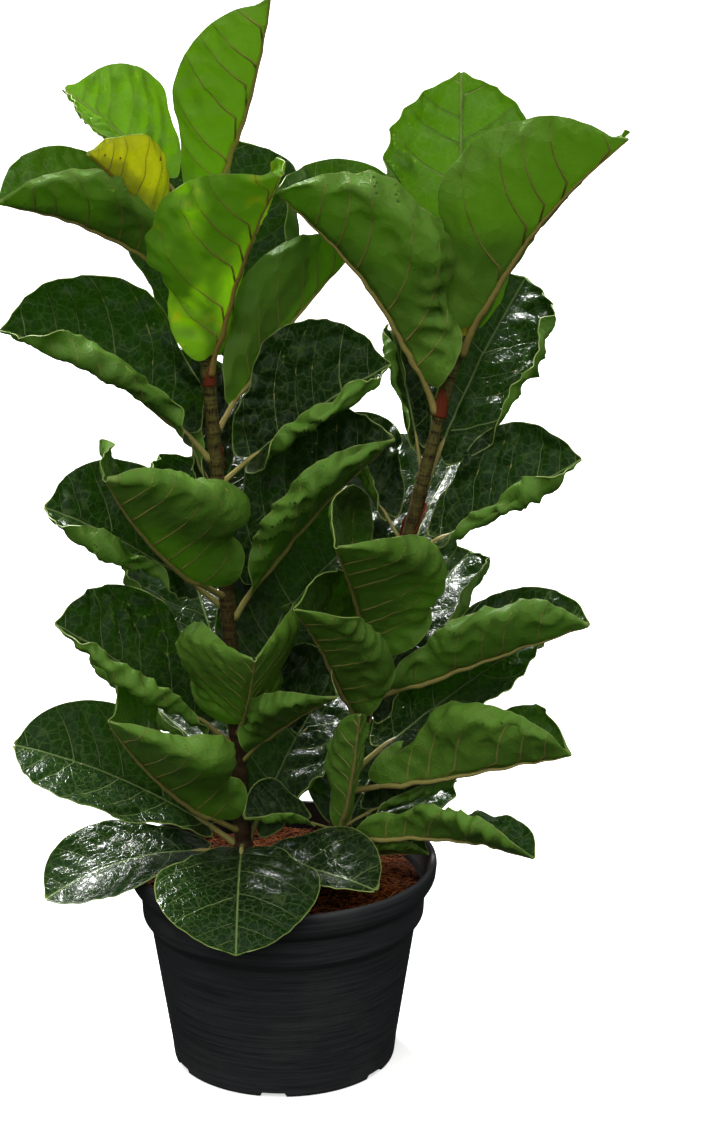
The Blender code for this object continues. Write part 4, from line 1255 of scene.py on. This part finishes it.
class FIG_OT_buds(bpy.types.Operator):
    """Build the pointed buds at the growing tips"""

    bl_idname = "fig.buds"
    bl_label = "Buds"

    def execute(self, context):
        settings = context.scene.fig_stems
        bud_skin = solid_material(
            "fresh_bud_sheath", tuple(0.8 * c for c in settings.bud_colour), settings.bud_colour, 0.4, 4 * MM
        )
        for stem in (LEFT, RIGHT):
            name = stem.name.replace("stem", "bud")
            top = stem.line[-1][2] * CM
            up = stem_direction(stem, top - STEP)
            foot = stem_point(stem, top)
            length = 0.0302
            v = np.linspace(-0.05, 1, 30)
            path = foot + v[:, None] * length * up + (0.0006 * np.sin(3 * v))[:, None] * np.array([1.0, 0, 0])
            full = 0.0048 * (0.88 + 0.12 * smooth_step(v, 0, 0.22)) * (1 - smooth_step(v, 0.10, 1.0)) ** 0.8
            shape = Shape()
            front = np.tile([0.0, -1.0, 0.0], (len(path), 1))
            add_tube(shape, path, np.maximum(full, 0.12 * MM), 16, 0, front, 0.9)
            piece = shape.build("sheathed_" + name, [bud_skin])
            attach(piece, "root")
            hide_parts(name)
        return {"FINISHED"}


# ---- Leaves ----


class FIG_OT_leaves(bpy.types.Operator):
    """Build every leaf: petiole, midrib, side veins and blade"""

    bl_idname = "fig.leaves"
    bl_label = "Leaves"

    def execute(self, context):
        settings = context.scene.fig_leaves
        finishes = {}
        for number, leaf in enumerate(LEAVES):
            look = LOOKS.get(leaf.name, USUAL)
            kind = (look.age, look.fade)
            if kind not in finishes:
                finishes[kind] = leaf_materials(*kind, settings)
            blade = blade_surface(leaf, look, settings, number)
            shape = Shape()
            loops = add_blade(shape, blade, settings.thickness, 0.37 * number)
            add_ribs(shape, leaf, blade, settings)
            piece = shape.build(leaf.name.replace("leaf", "blade"), finishes[kind])
            set_sharp(piece.data, loops)
            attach(piece, "root")
            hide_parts(leaf.name)
        return {"FINISHED"}


# ---- Stage ----

CAMERA_PLACE = (0.063, -2.4, 1.174)
CAMERA_TILT = math.radians(73.2)
FLOOR_SIZE = 60
# Which way each lamp shines, and how wide it looks from the plant, in degrees
KEY_TOWARD = (0.36, -0.70, -1.0)
KEY_SPREAD = 16
FILL_TOWARD = (0.10, 0.70, -0.90)
FILL_SPREAD = 70
# The room is at its full light above one slope of sight and nearly dark below another
ROOM_FULL_ABOVE = 0.5
ROOM_DARK_BELOW = -0.05
LIGHT_FROM_BELOW = 0.03
ROOM_TINT = (0.93, 0.97, 1, 1)
CAMERA_LENS = 93.8


class FIG_OT_stage(bpy.types.Operator):
    """Lay the floor, light it softly and set the camera"""

    bl_idname = "fig.stage"
    bl_label = "Stage"

    def execute(self, context):
        settings = context.scene.fig_stage
        bpy.ops.mesh.primitive_plane_add(size=FLOOR_SIZE)
        floor = context.object
        floor.name = "floor"
        material, tree = new_material("painted_floor")
        grain = add(tree, "ShaderNodeTexNoise", {"Scale": 900.0, "Detail": 2.0}).outputs[0]
        bump = add(
            tree, "ShaderNodeBump", {"Height": grain, "Distance": 0.05 * MM, "Strength": 0.3}
        ).outputs[0]
        skin = add(
            tree,
            "ShaderNodeBsdfPrincipled",
            {
                "Base Color": rgba(settings.floor_colour),
                "Roughness": 0.8,
                "Normal": bump,
                "Emission Color": rgba(settings.floor_colour),
                "Emission Strength": settings.floor_light,
            },
        )
        finish_with(tree, skin.outputs[0])
        floor.data.materials.append(material)
        # The white floor is for the eye only: it throws no light up at the leaves and doesn't mirror in them
        floor.visible_diffuse = False
        floor.visible_glossy = False
        for name, power, spread, toward in (
            ("key", settings.key, KEY_SPREAD, KEY_TOWARD),
            ("fill", settings.fill, FILL_SPREAD, FILL_TOWARD),
        ):
            lamp = bpy.data.lights.new(name, "SUN")
            lamp.energy = power
            lamp.angle = math.radians(spread)
            holder = bpy.data.objects.new(name, lamp)
            holder.rotation_euler = Vector(toward).to_track_quat("-Z", "Y").to_euler()
            # The fill comes through a wide matt cloth, too even to show as a highlight on the wax
            holder.visible_glossy = name == "key"
            context.scene.collection.objects.link(holder)
        context.scene.world = room(settings)
        camera = bpy.data.cameras.new("camera")
        camera.lens = CAMERA_LENS
        holder = bpy.data.objects.new("camera", camera)
        holder.location = CAMERA_PLACE
        holder.rotation_euler = (CAMERA_TILT, 0, 0)
        context.scene.collection.objects.link(holder)
        context.scene.camera = holder
        context.scene.view_settings.view_transform = "Standard"
        return {"FINISHED"}


def room(settings):
    """Light from the room's walls and ceiling, and next to none from below the level of the floor."""
    world = bpy.data.worlds.new("room")
    world.use_nodes = True
    tree = world.node_tree
    tree.nodes.clear()
    where = add(tree, "ShaderNodeTexCoord").outputs["Generated"]
    height = add(tree, "ShaderNodeSeparateXYZ", {0: where}).outputs[2]
    strength = add(
        tree,
        "ShaderNodeMapRange",
        {
            "Value": height,
            "From Min": ROOM_DARK_BELOW,
            "From Max": ROOM_FULL_ABOVE,
            "To Min": LIGHT_FROM_BELOW,
            "To Max": settings.sky,
        },
    ).outputs[0]
    light = add(tree, "ShaderNodeBackground", {"Color": ROOM_TINT, "Strength": strength})
    add(tree, "ShaderNodeOutputWorld", {"Surface": light.outputs[0]})
    return world


class FIG_PT_panel(bpy.types.Panel):
    """The fig's operators and settings"""

    bl_label = "Fiddle leaf fig"
    bl_idname = "FIG_PT_panel"
    bl_space_type = "VIEW_3D"
    bl_region_type = "UI"
    bl_category = "Fig"

    def draw(self, context):
        for operator in OPERATORS:
            self.layout.operator(operator.bl_idname)
        for name, group in SETTINGS.items():
            box = self.layout.box()
            for title in group.__annotations__:
                box.prop(getattr(context.scene, name), title)


OPERATORS = (FIG_OT_pot, FIG_OT_mix, FIG_OT_stems, FIG_OT_buds, FIG_OT_leaves, FIG_OT_stage)


def register():
    for group in SETTINGS.values():
        bpy.utils.register_class(group)
    for name, group in SETTINGS.items():
        setattr(bpy.types.Scene, name, PointerProperty(type=group))
    for item in (*OPERATORS, FIG_PT_panel):
        bpy.utils.register_class(item)


def unregister():
    for item in reversed((*OPERATORS, FIG_PT_panel)):
        bpy.utils.unregister_class(item)
    for name in SETTINGS:
        delattr(bpy.types.Scene, name)
    for group in SETTINGS.values():
        bpy.utils.unregister_class(group)


def main():
    register()
    bpy.ops.fig.pot()
    bpy.ops.fig.mix()
    bpy.ops.fig.stems()
    bpy.ops.fig.buds()
    bpy.ops.fig.leaves()
    bpy.ops.fig.stage()
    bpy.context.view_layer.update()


if __name__ == "__main__":
    main()
